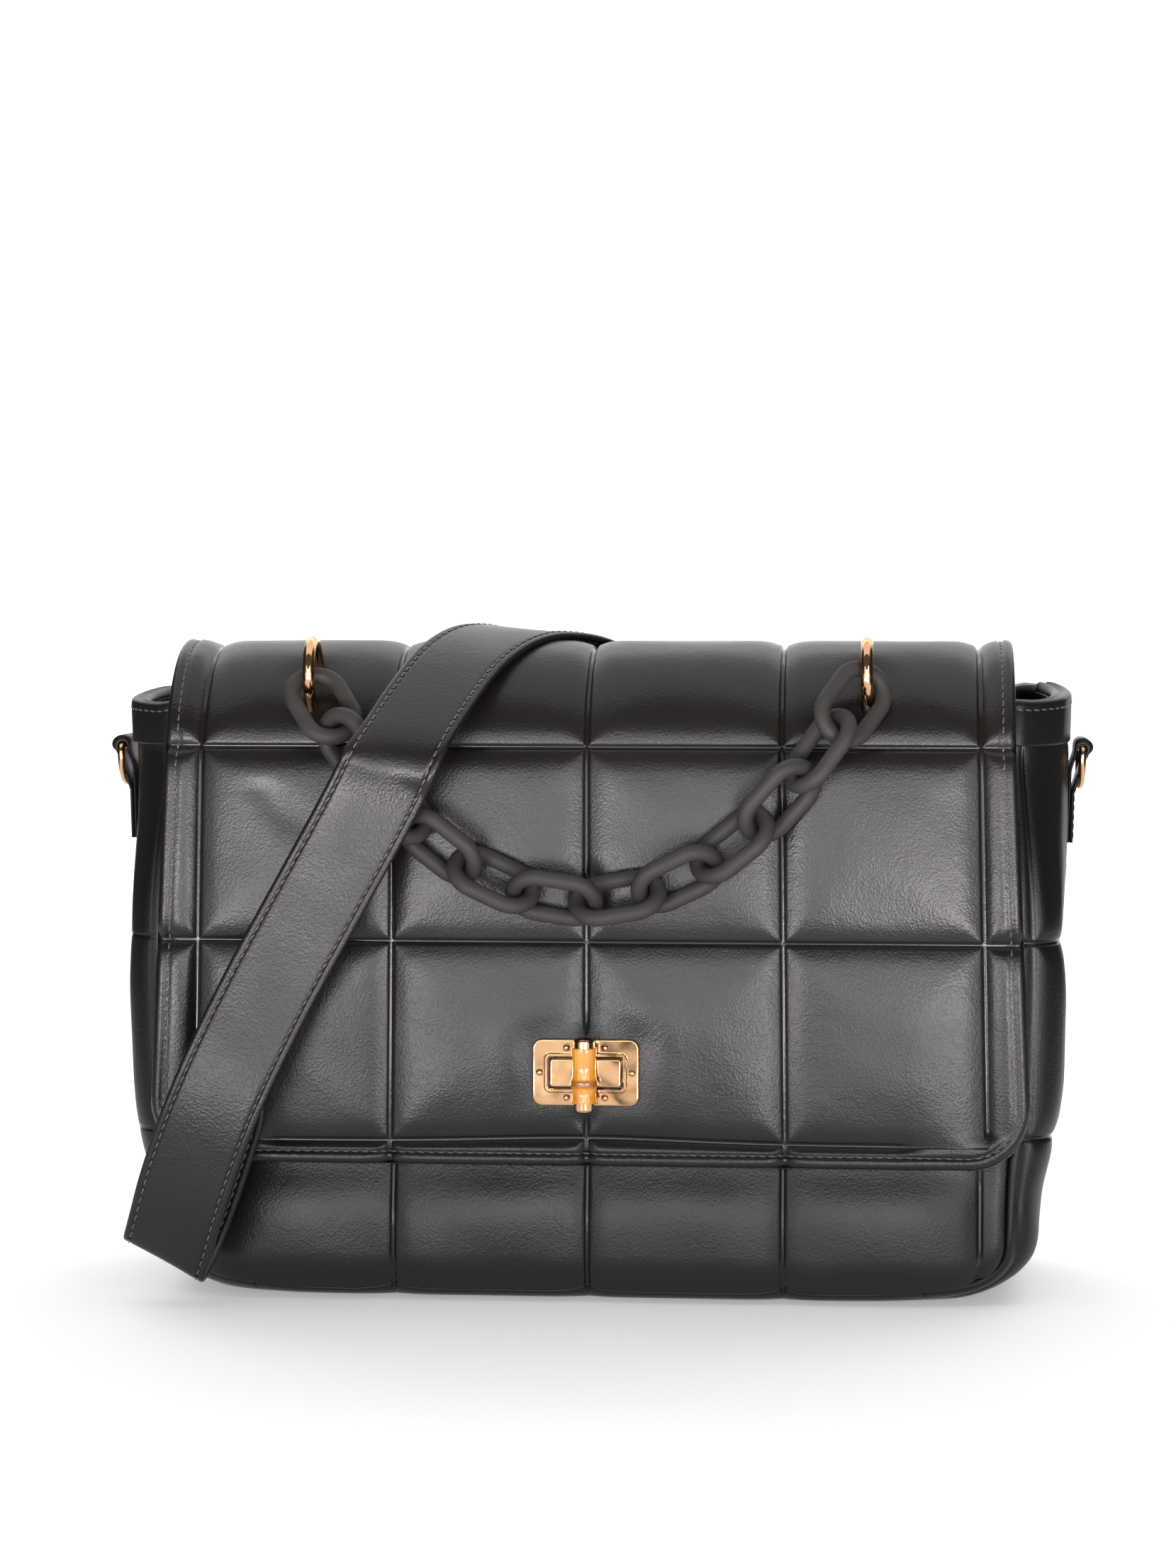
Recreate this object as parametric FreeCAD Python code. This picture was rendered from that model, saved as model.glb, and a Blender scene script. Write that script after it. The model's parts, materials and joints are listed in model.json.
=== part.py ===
import FreeCAD
import Part
import math
import os

Vec = FreeCAD.Vector

# Sizes are in millimetres. X is the bag's right, Y its back and Z up; Z 0 is the base.

# Body
rimHeight = 222.0
halfWidthBase = 172.0
halfWidthRim = 178.0
halfDepthBase = 58.0
halfDepthRim = 40.0
wall = 6.0
cornerRadius = 40.0
edgeRadius = 16.0
seamHalfBase = 154.0
seamHalfRim = 158.0
seamFloor = 6.0
seamCorner = 34.0
baseSeam = 124.0
bindingHeight = 16.5
bindingThickness = 0.8
bindingBackEnd = 28.0
boardThickness = 2.0
liningThickness = 1.0
fitGap = 0.15
moveGap = 0.35

# Quilting
quiltPitch = 72.0
quiltTop = 205.5
grooveWidth = 2.4
grooveDepth = 1.0

# Flap
flapFront = -62.0
flapCrown = 243.0
flapBottom = 51.0
shoulderRadius = 50.0
rearRadius = 75.0
panelThickness = 5.0
flapHalfTop = 156.0
flapHalfBottom = 163.0
flapCorner = 23.0
hingeY = 37.5

# Handle arches
archX = 102.0
archAngle = math.radians(45.0)
archWire = 4.4
archRadius = 11.2
archLeg = 5.3
archPlateThickness = 1.2
archPlateWidth = 12.0
archPlateSpan = math.radians(38.0)
screwHeadRadius = 2.6
screwHeadHeight = 1.5
screwRadius = 1.1
screwLength = 9.0

# Chain
linkCount = 12
linkWire = 6.0
linkLength = 36.1
linkWidth = 24.2
linkPitch = 23.3
linkLift = 10.6
linkRoll = 50.0
linkRollBack = 40.0
firstRoll = 14.0
lastRoll = -27.5
endReach = 1.8
endDrop = 5.0
endLift = 7.9
endRamp = 30.0
bumpLift = 0.8
bumpStart = 8.0
bumpLength = 56.0
endSlack = 1.0
chainTension = 0.5

# Turn lock
lockZ = 86.0
plateWidth = 39.0
plateHeight = 24.5
plateThickness = 1.4
plateCorner = 3.5
windowWidth = 28.0
windowHeight = 12.2
lipWidth = 1.3
lipHeight = 1.1
rivetHeadRadius = 1.0
rivetShankRadius = 0.6
rivetSideX = 17.0
rivetPairX = 7.0
rivetPairZ = 9.2
boltBlockWidth = 26.0
boltBlockHeight = 10.2
boltFlangeWidth = 34.0
boltFlangeHeight = 20.0
boltFlangeThickness = 1.2
boltBackThickness = 0.8
boltScrewX = 15.2
boltScrewRadius = 1.0
spindleRadius = 2.4
spindleRun = 0.06
counterboreRadius = 4.4
counterboreDepth = 5.0
springWasher = 0.7
retainerThickness = 1.2
retainerRadius = 3.9
toggleRise = 1.2
toggleLength = 27.0
bambooRadius = 4.1
bambooNodeRadius = 4.6
bambooNodeDrop = 3.0
rodRadius = 1.5
ferruleRadius = 3.8
ferruleLength = 3.4

# Side tabs and rings
tabZ = 167.5
tabHeight = 38.0
tabWidth = 18.0
tabThickness = 2.6
tabLoopWall = 1.2
tabRise = 9.0
ringWire = 2.8
ringHalfWidth = 11.0
ringLeg = 3.0
ringCorner = 2.4
ringOut = 5.0

# Shoulder strap
strapWidth = 34.0
strapThickness = 3.0
strapEndWidth = 20.0
strapTaper = 34.0
strapSections = 72
eyeWall = 2.2

# Snap hooks
hookBar = 3.0
hookHalfWidth = 14.0
hookLoopDepth = 9.0
hookLoopCorner = 3.5
barrelRadius = 4.0
barrelLength = 6.0
swivelRadius = 1.5
swivelRun = 0.08
clawWire = 4.2
clawHalfWidth = 5.5
clawBlockLength = 5.0
clawBlockThickness = 5.4
clawStraight = 12.0
gateThickness = 2.6
gatePinRadius = 0.8

exactTop = flapCrown + 20.0


def lerp(a, b, t):
    return a + (b - a) * t


def halfWidth(z):
    return lerp(halfWidthBase, halfWidthRim, z / rimHeight)


def halfDepth(z):
    return lerp(halfDepthBase, halfDepthRim, z / rimHeight)


def inXZ(u, v):
    return Vec(u, 0, v)


def inYZ(u, v):
    return Vec(0, u, v)


def roundedFace(corners, place):
    # corners: (u, v, radius); each corner with a radius becomes a tangent arc.
    count = len(corners)
    ends = []
    for i in range(count):
        here = Vec(corners[i][0], corners[i][1], 0)
        before = (Vec(*corners[i - 1][:2], 0) - here).normalize()
        after = (Vec(*corners[(i + 1) % count][:2], 0) - here).normalize()
        radius = corners[i][2]
        if radius <= 0:
            ends.append((here, None, here))
            continue
        half = before.getAngle(after) / 2
        reach = radius / math.tan(half)
        inward = (before + after).normalize()
        middle = here + inward * (radius / math.sin(half) - radius)
        ends.append((here + before * reach, middle, here + after * reach))
    edges = []
    for i in range(count):
        start, middle, stop = [p if p is None else place(p.x, p.y) for p in ends[i]]
        following = place(ends[(i + 1) % count][0].x, ends[(i + 1) % count][0].y)
        if middle is not None:
            edges.append(Part.Arc(start, middle, stop).toShape())
        if (following - stop).Length > 1e-6:
            edges.append(Part.makeLine(stop, following))
    return Part.Face(Part.Wire(edges))


def prismY(corners, y0, y1):
    solid = roundedFace(corners, inXZ).extrude(Vec(0, y1 - y0, 0))
    return solid.translated(Vec(0, y0, 0))


def boxBetween(x0, x1, y0, y1, z0, z1):
    return Part.makeBox(x1 - x0, y1 - y0, z1 - z0, Vec(x0, y0, z0))


def rod(start, stop, radius):
    return Part.makeCylinder(radius, (stop - start).Length, start, stop - start)


def join(shapes):
    whole = shapes[0].fuse(shapes[1:]) if len(shapes) > 1 else shapes[0]
    return whole.removeSplitter()


def save(node, shape):
    shape.exportStep("parts/" + node + ".step")


def placed(shape, origin, xAxis, yAxis, zAxis):
    # Moves a shape drawn about the origin to a point with the given axes.
    matrix = FreeCAD.Matrix(
        xAxis.x, yAxis.x, zAxis.x, origin.x,
        xAxis.y, yAxis.y, zAxis.y, origin.y,
        xAxis.z, yAxis.z, zAxis.z, origin.z,
        0, 0, 0, 1)
    return shape.transformed(matrix)


def bodyForm(inset, floor, top):
    # The soft box shrunk by an inset, from its floor to a level top.
    side = [
        (-halfWidth(floor) + inset, floor, cornerRadius - inset),
        (halfWidth(floor) - inset, floor, cornerRadius - inset),
        (halfWidth(top) - inset, top, 0),
        (-halfWidth(top) + inset, top, 0)]
    solid = prismY(side, -2 * halfDepthBase, 2 * halfDepthBase)
    slope = Part.Face(Part.makePolygon([
        inYZ(-halfDepth(floor) + inset, floor),
        inYZ(halfDepth(floor) - inset, floor),
        inYZ(halfDepth(top) - inset, top),
        inYZ(-halfDepth(top) + inset, top),
        inYZ(-halfDepth(floor) + inset, floor)]))
    slope = slope.extrude(Vec(4 * halfWidthRim, 0, 0)).translated(Vec(-2 * halfWidthRim, 0, 0))
    solid = solid.common(slope)
    rim = []
    for edge in solid.Edges:
        onFace = all(abs(abs(v.Y) - halfDepth(v.Z) + inset) < 0.01 for v in edge.Vertexes)
        middle = edge.valueAt((edge.FirstParameter + edge.LastParameter) / 2)
        if onFace and abs(abs(middle.y) - halfDepth(middle.z) + inset) < 0.01 and middle.z < top - 0.01:
            rim.append(edge)
    return solid.makeFillet(edgeRadius - inset, rim)


# Flap outline: a front line, a shoulder arc and a rear arc down to the hinge.
shoulder = Vec(0, flapFront + shoulderRadius, flapCrown - shoulderRadius)
rearCentre = Vec(0, shoulder.y, flapCrown - rearRadius)
hingeRadius = rearRadius - panelThickness / 2
hingeAngle = math.asin((hingeY - rearCentre.y) / hingeRadius)
hingeZ = rearCentre.z + hingeRadius * math.cos(hingeAngle)
flapThickness = panelThickness + fitGap + liningThickness
backTop = hingeZ - panelThickness / 2 - moveGap


def onArc(centre, radius, angle):
    # Angle from straight up, growing towards the back.
    return Vec(0, centre.y + radius * math.sin(angle), centre.z + radius * math.cos(angle))


def flapBand(depthOut, depthIn, bottom, rearAngle, roundEnd):
    # The flap's side section between two depths below its outer surface.
    outer = shoulderRadius - depthOut
    inner = shoulderRadius - depthIn
    outerEnd = onArc(rearCentre, rearRadius - depthOut, rearAngle)
    innerEnd = onArc(rearCentre, rearRadius - depthIn, rearAngle)
    edges = [
        Part.makeLine(inYZ(flapFront + depthOut, bottom), inYZ(flapFront + depthOut, shoulder.z)),
        Part.Arc(inYZ(flapFront + depthOut, shoulder.z), onArc(shoulder, outer, -math.pi / 4),
                 inYZ(shoulder.y, flapCrown - depthOut)).toShape(),
        Part.Arc(inYZ(shoulder.y, flapCrown - depthOut),
                 onArc(rearCentre, rearRadius - depthOut, rearAngle / 2), outerEnd).toShape()]
    if roundEnd:
        middle = (outerEnd + innerEnd) * 0.5
        along = Vec(0, math.cos(rearAngle), -math.sin(rearAngle))
        edges.append(Part.Arc(outerEnd, middle + along * (depthIn - depthOut) / 2, innerEnd).toShape())
    else:
        edges.append(Part.makeLine(outerEnd, innerEnd))
    edges += [
        Part.Arc(innerEnd, onArc(rearCentre, rearRadius - depthIn, rearAngle / 2),
                 inYZ(shoulder.y, flapCrown - depthIn)).toShape(),
        Part.Arc(inYZ(shoulder.y, flapCrown - depthIn), onArc(shoulder, inner, -math.pi / 4),
                 inYZ(flapFront + depthIn, shoulder.z)).toShape(),
        Part.makeLine(inYZ(flapFront + depthIn, shoulder.z), inYZ(flapFront + depthIn, bottom)),
        Part.makeLine(inYZ(flapFront + depthIn, bottom), inYZ(flapFront + depthOut, bottom))]
    return Part.Face(Part.Wire(edges))


def acrossX(face, x0, x1):
    return face.extrude(Vec(x1 - x0, 0, 0)).translated(Vec(x0, 0, 0))


def flapOutline(inset):
    # The flap seen from the front: wider below, with rounded lower corners.
    return prismY([
        (-flapHalfBottom + inset, flapBottom + inset, flapCorner - inset),
        (flapHalfBottom - inset, flapBottom + inset, flapCorner - inset),
        (flapHalfTop - inset, quiltTop, 0),
        (flapHalfTop - inset, exactTop, 0),
        (-flapHalfTop + inset, exactTop, 0),
        (-flapHalfTop + inset, quiltTop, 0)], -150, 150)


def archFrame(sign):
    # Where an arch stands on the flap's shoulder: point, outward normal and downhill direction.
    normal = Vec(0, -math.sin(archAngle), math.cos(archAngle))
    downhill = Vec(0, -math.cos(archAngle), -math.sin(archAngle))
    point = shoulder + normal * shoulderRadius + Vec(sign * archX, 0, 0)
    return point, normal, downhill


def archFeet(sign):
    point, normal, downhill = archFrame(sign)
    return point, normal, [point + downhill * archRadius, point - downhill * archRadius]


def makeFlap():
    outline = flapOutline(0)
    panel = acrossX(flapBand(0, panelThickness, flapBottom, hingeAngle, True), -200, 200).common(outline)
    lining = acrossX(
        flapBand(panelThickness + fitGap, flapThickness, flapBottom, hingeAngle * 0.86, False), -200, 200)
    lining = lining.common(flapOutline(2.0))
    grooves = []
    for column in range(-2, 3):
        x = column * quiltPitch
        band = flapBand(-1, grooveDepth, flapBottom - 1, hingeAngle * 0.94, False)
        grooves.append(acrossX(band, x - grooveWidth / 2, x + grooveWidth / 2))
    for row in range(3):
        z = quiltTop - row * quiltPitch
        grooves.append(boxBetween(-200, 200, flapFront - 10, flapFront + grooveDepth,
                                  z - grooveWidth / 2, z + grooveWidth / 2))
    # The top groove lies on the shoulder's curve, so it is cut square to the surface.
    lift = math.asin((quiltTop - shoulder.z) / shoulderRadius)
    topCut = Part.makeBox(400, 10 + grooveDepth, grooveWidth,
                          Vec(-200, -shoulderRadius - 10, -grooveWidth / 2))
    topCut.rotate(Vec(0, 0, 0), Vec(1, 0, 0), -math.degrees(lift))
    grooves[5] = topCut.translated(shoulder)
    crownCut = boxBetween(-200, 200, shoulder.y - grooveWidth / 2, shoulder.y + grooveWidth / 2,
                          flapCrown - grooveDepth, flapCrown + 10)
    grooves.append(crownCut)
    window = boxBetween(-windowWidth / 2, windowWidth / 2, flapFront - 10, flapFront + 20,
                        lockZ - windowHeight / 2, lockZ + windowHeight / 2)
    # The quilting stops in a flat patch under the lock plate and round the arch feet.
    patch = boxBetween(-plateWidth / 2 - 2, plateWidth / 2 + 2, flapFront - 20, flapFront + 20,
                       lockZ - plateHeight / 2 - 2, lockZ + plateHeight / 2 + 2)
    panel = panel.cut([groove.cut(patch) for groove in grooves])
    holes = [window]
    for x, z in rivetSpots():
        holes.append(rod(Vec(x, flapFront - 10, z), Vec(x, flapFront + 20, z), rivetShankRadius + fitGap))
    for sign in (-1, 1):
        point, normal, feet = archFeet(sign)
        for foot in feet:
            holes.append(rod(foot + normal * 5, foot - normal * 14, archWire / 2 + fitGap))
    save("flap_panel", panel.cut(holes))
    save("flap_lining", lining.cut(holes))


def makeBody():
    outer = bodyForm(0, 0, rimHeight)
    inner = bodyForm(wall, wall, rimHeight + 10)
    shell = outer.cut(inner)
    opening = [
        (-seamHalfBase, seamFloor, seamCorner), (seamHalfBase, seamFloor, seamCorner),
        (seamHalfRim, exactTop, 0), (-seamHalfRim, exactTop, 0)]
    front = shell.common(prismY(opening, -100, 0))
    back = shell.common(prismY(opening, 0, 100))
    band = shell.cut(prismY(opening, -100, 100))
    skin = bodyForm(-1, -1, rimHeight + 10).cut(bodyForm(grooveDepth, grooveDepth, rimHeight + 20))
    columns = []
    for column in range(-2, 3):
        x = column * quiltPitch
        columns.append(boxBetween(x - grooveWidth / 2, x + grooveWidth / 2, -100, 100, 0, exactTop))
    rows = []
    for row in range(3):
        z = quiltTop - row * quiltPitch
        rows.append(boxBetween(-300, 300, -100, 100, z - grooveWidth / 2, z + grooveWidth / 2))
    lattice = skin.common(Part.makeCompound(columns[:1]).fuse(columns[1:] + rows))
    sideRows = skin.common(Part.makeCompound(rows[1:2]).fuse(rows[2:]))
    patch = boxBetween(-boltFlangeWidth / 2 - 2, boltFlangeWidth / 2 + 2, -100, 0,
                       lockZ - boltFlangeHeight / 2 - 2, lockZ + boltFlangeHeight / 2 + 2)
    front = front.cut(lattice.cut(patch))
    back = back.cut(lattice)
    # The front panel takes the lock base's screws and a pocket for its backing plate.
    for sign in (-1, 1):
        x = sign * boltScrewX
        front = front.cut(rod(Vec(x, -100, lockZ), Vec(x, 0, lockZ), boltScrewRadius + fitGap))
    front = front.cut(boltBackPlate(fitGap))
    back = back.cut(boxBetween(-300, 300, 0, 100, backTop, exactTop))
    base = band.common(boxBetween(-baseSeam, baseSeam, -100, 100, -10, exactTop))
    save("front_panel", front)
    save("back_panel", back)
    save("base_panel", base)
    left = band.common(boxBetween(-300, -baseSeam, -100, 100, -10, exactTop)).cut(sideRows)
    right = band.common(boxBetween(baseSeam, 300, -100, 100, -10, exactTop)).cut(sideRows)
    save("left_gusset", left)
    save("right_gusset", right)

    # Rim binding: a folded strip over the wall's top edge, round the sides and the front.
    low = rimHeight - bindingHeight
    grow = bindingThickness + fitGap
    cap = rimHeight + grow
    wrap = bodyForm(-grow, 0, cap).cut(bodyForm(wall + grow, wall, cap + 10))
    wrap = wrap.common(boxBetween(-300, 300, -100, bindingBackEnd, low, cap + 1))
    keep = bodyForm(-fitGap, 0, rimHeight + fitGap).cut(bodyForm(wall + fitGap, wall, cap + 10))
    save("rim_binding", wrap.cut(keep))

    # Lining and the stiffening board under its floor.
    boardTop = wall + fitGap + boardThickness
    floor = boardTop + fitGap
    skinOut = wall + fitGap
    liningTop = low - 1.0
    lining = bodyForm(skinOut, floor, liningTop).cut(
        bodyForm(skinOut + liningThickness, floor + liningThickness, liningTop + 10))
    save("lining", lining)
    boardX = halfWidthBase - cornerRadius - 4
    boardY = halfDepthBase - edgeRadius - 3
    board = prismY([(-boardX, wall + fitGap, 0), (boardX, wall + fitGap, 0),
                    (boardX, boardTop, 0), (-boardX, boardTop, 0)], -boardY, boardY)
    save("base_board", board)


def frontAt(z):
    return -halfDepth(z)


def boltBackPlate(grow):
    # Sits flush in the inner side of the front panel behind the lock base.
    slope = math.degrees(math.atan((halfDepthBase - halfDepthRim) / rimHeight))
    w = boltFlangeWidth / 2 + grow
    h = boltFlangeHeight / 2 + grow
    t = boltBackThickness
    plate = boxBetween(-w, w, -t - grow, 0, -h, h)
    plate.rotate(Vec(0, 0, 0), Vec(1, 0, 0), -slope)
    return plate.translated(Vec(0, frontAt(lockZ) + wall, lockZ))


def rivetSpots():
    spots = [(-rivetSideX, lockZ), (rivetSideX, lockZ)]
    for sx in (-1, 1):
        for sz in (-1, 1):
            spots.append((sx * rivetPairX, lockZ + sz * rivetPairZ))
    return spots


def lockRect(width, height, corner):
    w = width / 2
    h = height / 2
    low = lockZ - h
    high = lockZ + h
    return [(-w, low, corner), (w, low, corner), (w, high, corner), (-w, high, corner)]


def makeLock():
    # Plate on the flap, with a raised lip round its window.
    back = flapFront - fitGap
    face = back - plateThickness
    hole = prismY(lockRect(windowWidth, windowHeight, 1.2), face - 20, back + 20)
    plate = prismY(lockRect(plateWidth, plateHeight, plateCorner), face, back)
    frontEdges = [e for e in plate.Edges if all(abs(v.Y - face) < 1e-6 for v in e.Vertexes)]
    plate = plate.makeFillet(0.6, frontEdges)
    lipRect = lockRect(windowWidth + 2 * lipWidth, windowHeight + 2 * lipWidth, 2.4)
    lip = prismY(lipRect, face - lipHeight, face + 0.5)
    lipEdges = [e for e in lip.Edges if all(abs(v.Y - face + lipHeight) < 1e-6 for v in e.Vertexes)]
    plate = join([plate, lip.makeChamfer(0.4, lipEdges)]).cut(hole)
    rear = flapFront + flapThickness + fitGap
    backing = prismY(lockRect(plateWidth - 1, plateHeight - 1, plateCorner), rear, rear + boltBackThickness)
    backing = backing.cut(hole)
    rivets = []
    for x, z in rivetSpots():
        drill = rod(Vec(x, face - 5, z), Vec(x, rear + 5, z), rivetShankRadius + 0.05)
        plate = plate.cut(drill)
        backing = backing.cut(drill)
        head = rod(Vec(x, face - 0.55, z), Vec(x, face - 0.05, z), rivetHeadRadius)
        shank = rod(Vec(x, face - 0.3, z), Vec(x, rear + boltBackThickness + 0.3, z), rivetShankRadius)
        tail = rod(Vec(x, rear + boltBackThickness + 0.05, z), Vec(x, rear + boltBackThickness + 0.45, z),
                   rivetHeadRadius)
        rivets.append(join([head, shank, tail]))
    save("lock_plate", plate)
    save("lock_backing", backing)
    save("lock_rivets", Part.makeCompound(rivets))

    # Base block on the front panel, coming up through the window.
    blockFace = face - lipHeight - 0.3
    seat = bodyForm(-fitGap, 0, rimHeight)
    block = prismY(lockRect(boltBlockWidth, boltBlockHeight, 1.0), blockFace, -40)
    blockEdges = [e for e in block.Edges if all(abs(v.Y - blockFace) < 1e-6 for v in e.Vertexes)]
    block = block.makeFillet(0.5, blockEdges)
    flange = prismY(lockRect(boltFlangeWidth, boltFlangeHeight, 2.5),
                    frontAt(lockZ - boltFlangeHeight / 2) - fitGap - boltFlangeThickness, -40)
    base = join([block, flange]).cut(seat)
    # Space behind the spindle for its washers.
    floorY = frontAt(lockZ + counterboreRadius) - fitGap
    bore = rod(Vec(0, blockFace - 5, lockZ), Vec(0, -40, lockZ), spindleRadius + spindleRun)
    cavity = rod(Vec(0, floorY - counterboreDepth, lockZ), Vec(0, -40, lockZ), counterboreRadius)
    base = base.cut([bore, cavity])
    backPlate = boltBackPlate(0)
    pins = []
    flangeFace = frontAt(lockZ - boltFlangeHeight / 2) - fitGap - boltFlangeThickness
    pinEnd = frontAt(lockZ) + wall - boltBackThickness / 2
    for sign in (-1, 1):
        x = sign * boltScrewX
        drill = rod(Vec(x, -100, lockZ), Vec(x, 0, lockZ), boltScrewRadius + 0.05)
        base = base.cut(drill)
        backPlate = backPlate.cut(drill)
        pins.append(rod(Vec(x, flangeFace, lockZ), Vec(x, pinEnd, lockZ), boltScrewRadius))
    save("lock_base", base)
    save("lock_base_backing", backPlate)
    save("lock_base_pins", Part.makeCompound(pins))

    # Toggle: a rod inside the bamboo with the spindle crossing it.
    axisY = blockFace - toggleRise - bambooNodeRadius
    half = toggleLength / 2
    cavityTop = floorY - counterboreDepth
    spindle = rod(Vec(0, axisY, lockZ), Vec(0, cavityTop + springWasher + retainerThickness + 0.9, lockZ),
                  spindleRadius)
    collar = rod(Vec(0, blockFace - toggleRise, lockZ), Vec(0, blockFace - 0.2, lockZ), spindleRadius + 1.2)
    core = rod(Vec(0, axisY, lockZ - half + 1.2), Vec(0, axisY, lockZ + half - 1.2), rodRadius)
    spindle = join([spindle, collar, core])
    washer = rod(Vec(0, cavityTop + 0.05, lockZ), Vec(0, cavityTop + springWasher, lockZ),
                 counterboreRadius - 0.3)
    washer = washer.cut(rod(Vec(0, -100, lockZ), Vec(0, 0, lockZ), spindleRadius + 0.1))
    holdY = cavityTop + springWasher + 0.05
    retainer = rod(Vec(0, holdY, lockZ), Vec(0, holdY + retainerThickness, lockZ), retainerRadius)
    retainer = retainer.cut(rod(Vec(0, -100, lockZ), Vec(0, 0, lockZ), spindleRadius + 0.02))
    bodyEnd = half - ferruleLength - 0.05
    nodeZ = -bambooNodeDrop
    outline = [
        (0, -bodyEnd), (bambooRadius, -bodyEnd), (bambooRadius, nodeZ - 2.2),
        (bambooNodeRadius, nodeZ), (bambooRadius, nodeZ + 2.2),
        (bambooRadius * 0.97, bodyEnd), (0, bodyEnd), (0, -bodyEnd)]
    half2d = Part.Face(Part.makePolygon([Vec(r, axisY, lockZ + h) for r, h in outline]))
    cane = half2d.revolve(Vec(0, axisY, lockZ), Vec(0, 0, 1), 360)
    cane = cane.cut(rod(Vec(0, axisY, lockZ - half), Vec(0, axisY, lockZ + half), rodRadius + 0.05))
    cane = cane.cut(rod(Vec(0, axisY, lockZ), Vec(0, axisY + 20, lockZ), spindleRadius + 0.1))
    cane = cane.cut(rod(Vec(0, blockFace - toggleRise - 0.1, lockZ), Vec(0, axisY + 20, lockZ),
                        spindleRadius + 1.4))
    caps = []
    for sign in (-1, 1):
        inner = lockZ + sign * (half - ferruleLength)
        outerEnd = lockZ + sign * half
        cap = rod(Vec(0, axisY, inner), Vec(0, axisY, outerEnd), ferruleRadius)
        rim = [e for e in cap.Edges if len(e.Vertexes) == 1 and abs(e.Vertexes[0].Z - outerEnd) < 1e-6]
        cap = cap.makeFillet(1.2, rim)
        caps.append(cap.cut(rod(Vec(0, axisY, lockZ - half + 1.1), Vec(0, axisY, lockZ + half - 1.1),
                                rodRadius + 0.05)))
    save("toggle_spindle", spindle)
    save("toggle_spring_washer", washer)
    save("toggle_retainer", retainer)
    save("bamboo_toggle", cane)
    save("toggle_ferrules", Part.makeCompound(caps))


def makeArches():
    names = {-1: "left", 1: "right"}
    screws = []
    for sign in (-1, 1):
        point, normal, feet = archFeet(sign)
        centre = point + normal * archLeg
        inside = -(flapThickness + 2 * fitGap)
        downhill = (feet[0] - feet[1]).normalize()
        legs = []
        for foot in feet:
            legs.append(rod(foot + normal * (inside + 1.2), foot + normal * archLeg, archWire / 2))
        bow = Part.makeTorus(archRadius, archWire / 2, Vec(0, 0, 0), Vec(0, 0, 1), -180, 180, 180)
        bow = placed(bow, centre, downhill, normal, downhill.cross(normal))
        tap = []
        for foot in feet:
            tap.append(rod(foot + normal * (inside + 0.5), foot + normal * 2.0, screwRadius + 0.05))
        save(names[sign] + "_arch", join([bow] + legs).cut(tap))
        # Curved plate under the flap's lining that the screws pull against.
        outer = shoulderRadius - flapThickness - fitGap
        inner = outer - archPlateThickness
        low = -archAngle - archPlateSpan / 2
        high = -archAngle + archPlateSpan / 2
        ring = Part.Face(Part.Wire([
            Part.Arc(onArc(shoulder, outer, low), onArc(shoulder, outer, -archAngle),
                     onArc(shoulder, outer, high)).toShape(),
            Part.makeLine(onArc(shoulder, outer, high), onArc(shoulder, inner, high)),
            Part.Arc(onArc(shoulder, inner, high), onArc(shoulder, inner, -archAngle),
                     onArc(shoulder, inner, low)).toShape(),
            Part.makeLine(onArc(shoulder, inner, low), onArc(shoulder, outer, low))]))
        middle = sign * archX
        plate = acrossX(ring, middle - archPlateWidth / 2, middle + archPlateWidth / 2)
        for foot in feet:
            plate = plate.cut(rod(foot, foot - normal * 20, screwRadius + 0.15))
        save(names[sign] + "_arch_plate", plate)
        # The plate curves away from each foot, so a head seats below its lowest edge.
        seat = math.sqrt(inner ** 2 - (archRadius + screwHeadRadius) ** 2) - shoulderRadius
        for foot in feet:
            under = foot + normal * (seat - 0.1)
            head = rod(under, under - normal * screwHeadHeight, screwHeadRadius)
            root = foot + normal * (seat - 0.4)
            shank = rod(root, root + normal * screwLength, screwRadius)
            screws.append(join([head, shank]))
    save("arch_screws", Part.makeCompound(screws))


def chainLink():
    # A link drawn in the XY plane, long along X.
    bend = (linkWidth - linkWire) / 2
    half = (linkLength - linkWidth) / 2
    radius = linkWire / 2
    right = Part.makeTorus(bend, radius, Vec(0, 0, 0), Vec(0, 0, 1), -180, 180, 180)
    right = right.rotated(Vec(0, 0, 0), Vec(0, 0, 1), -90).translated(Vec(half, 0, 0))
    left = right.mirror(Vec(0, 0, 0), Vec(1, 0, 0))
    bars = [rod(Vec(-half, y, 0), Vec(half, y, 0), radius) for y in (-bend, bend)]
    return join([right, left] + bars)


def onFlap(x, down, lift):
    # A point a distance down the flap's front from the arches, lifted off it by a height.
    radius = shoulderRadius + lift
    angle = archAngle + down / radius
    if angle <= math.pi / 2:
        normal = Vec(0, -math.sin(angle), math.cos(angle))
        return shoulder + Vec(x, 0, 0) + normal * radius, normal
    z = shoulder.z - (down - radius * (math.pi / 2 - archAngle))
    return Vec(x, flapFront - lift, z), Vec(0, -1, 0)


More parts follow.
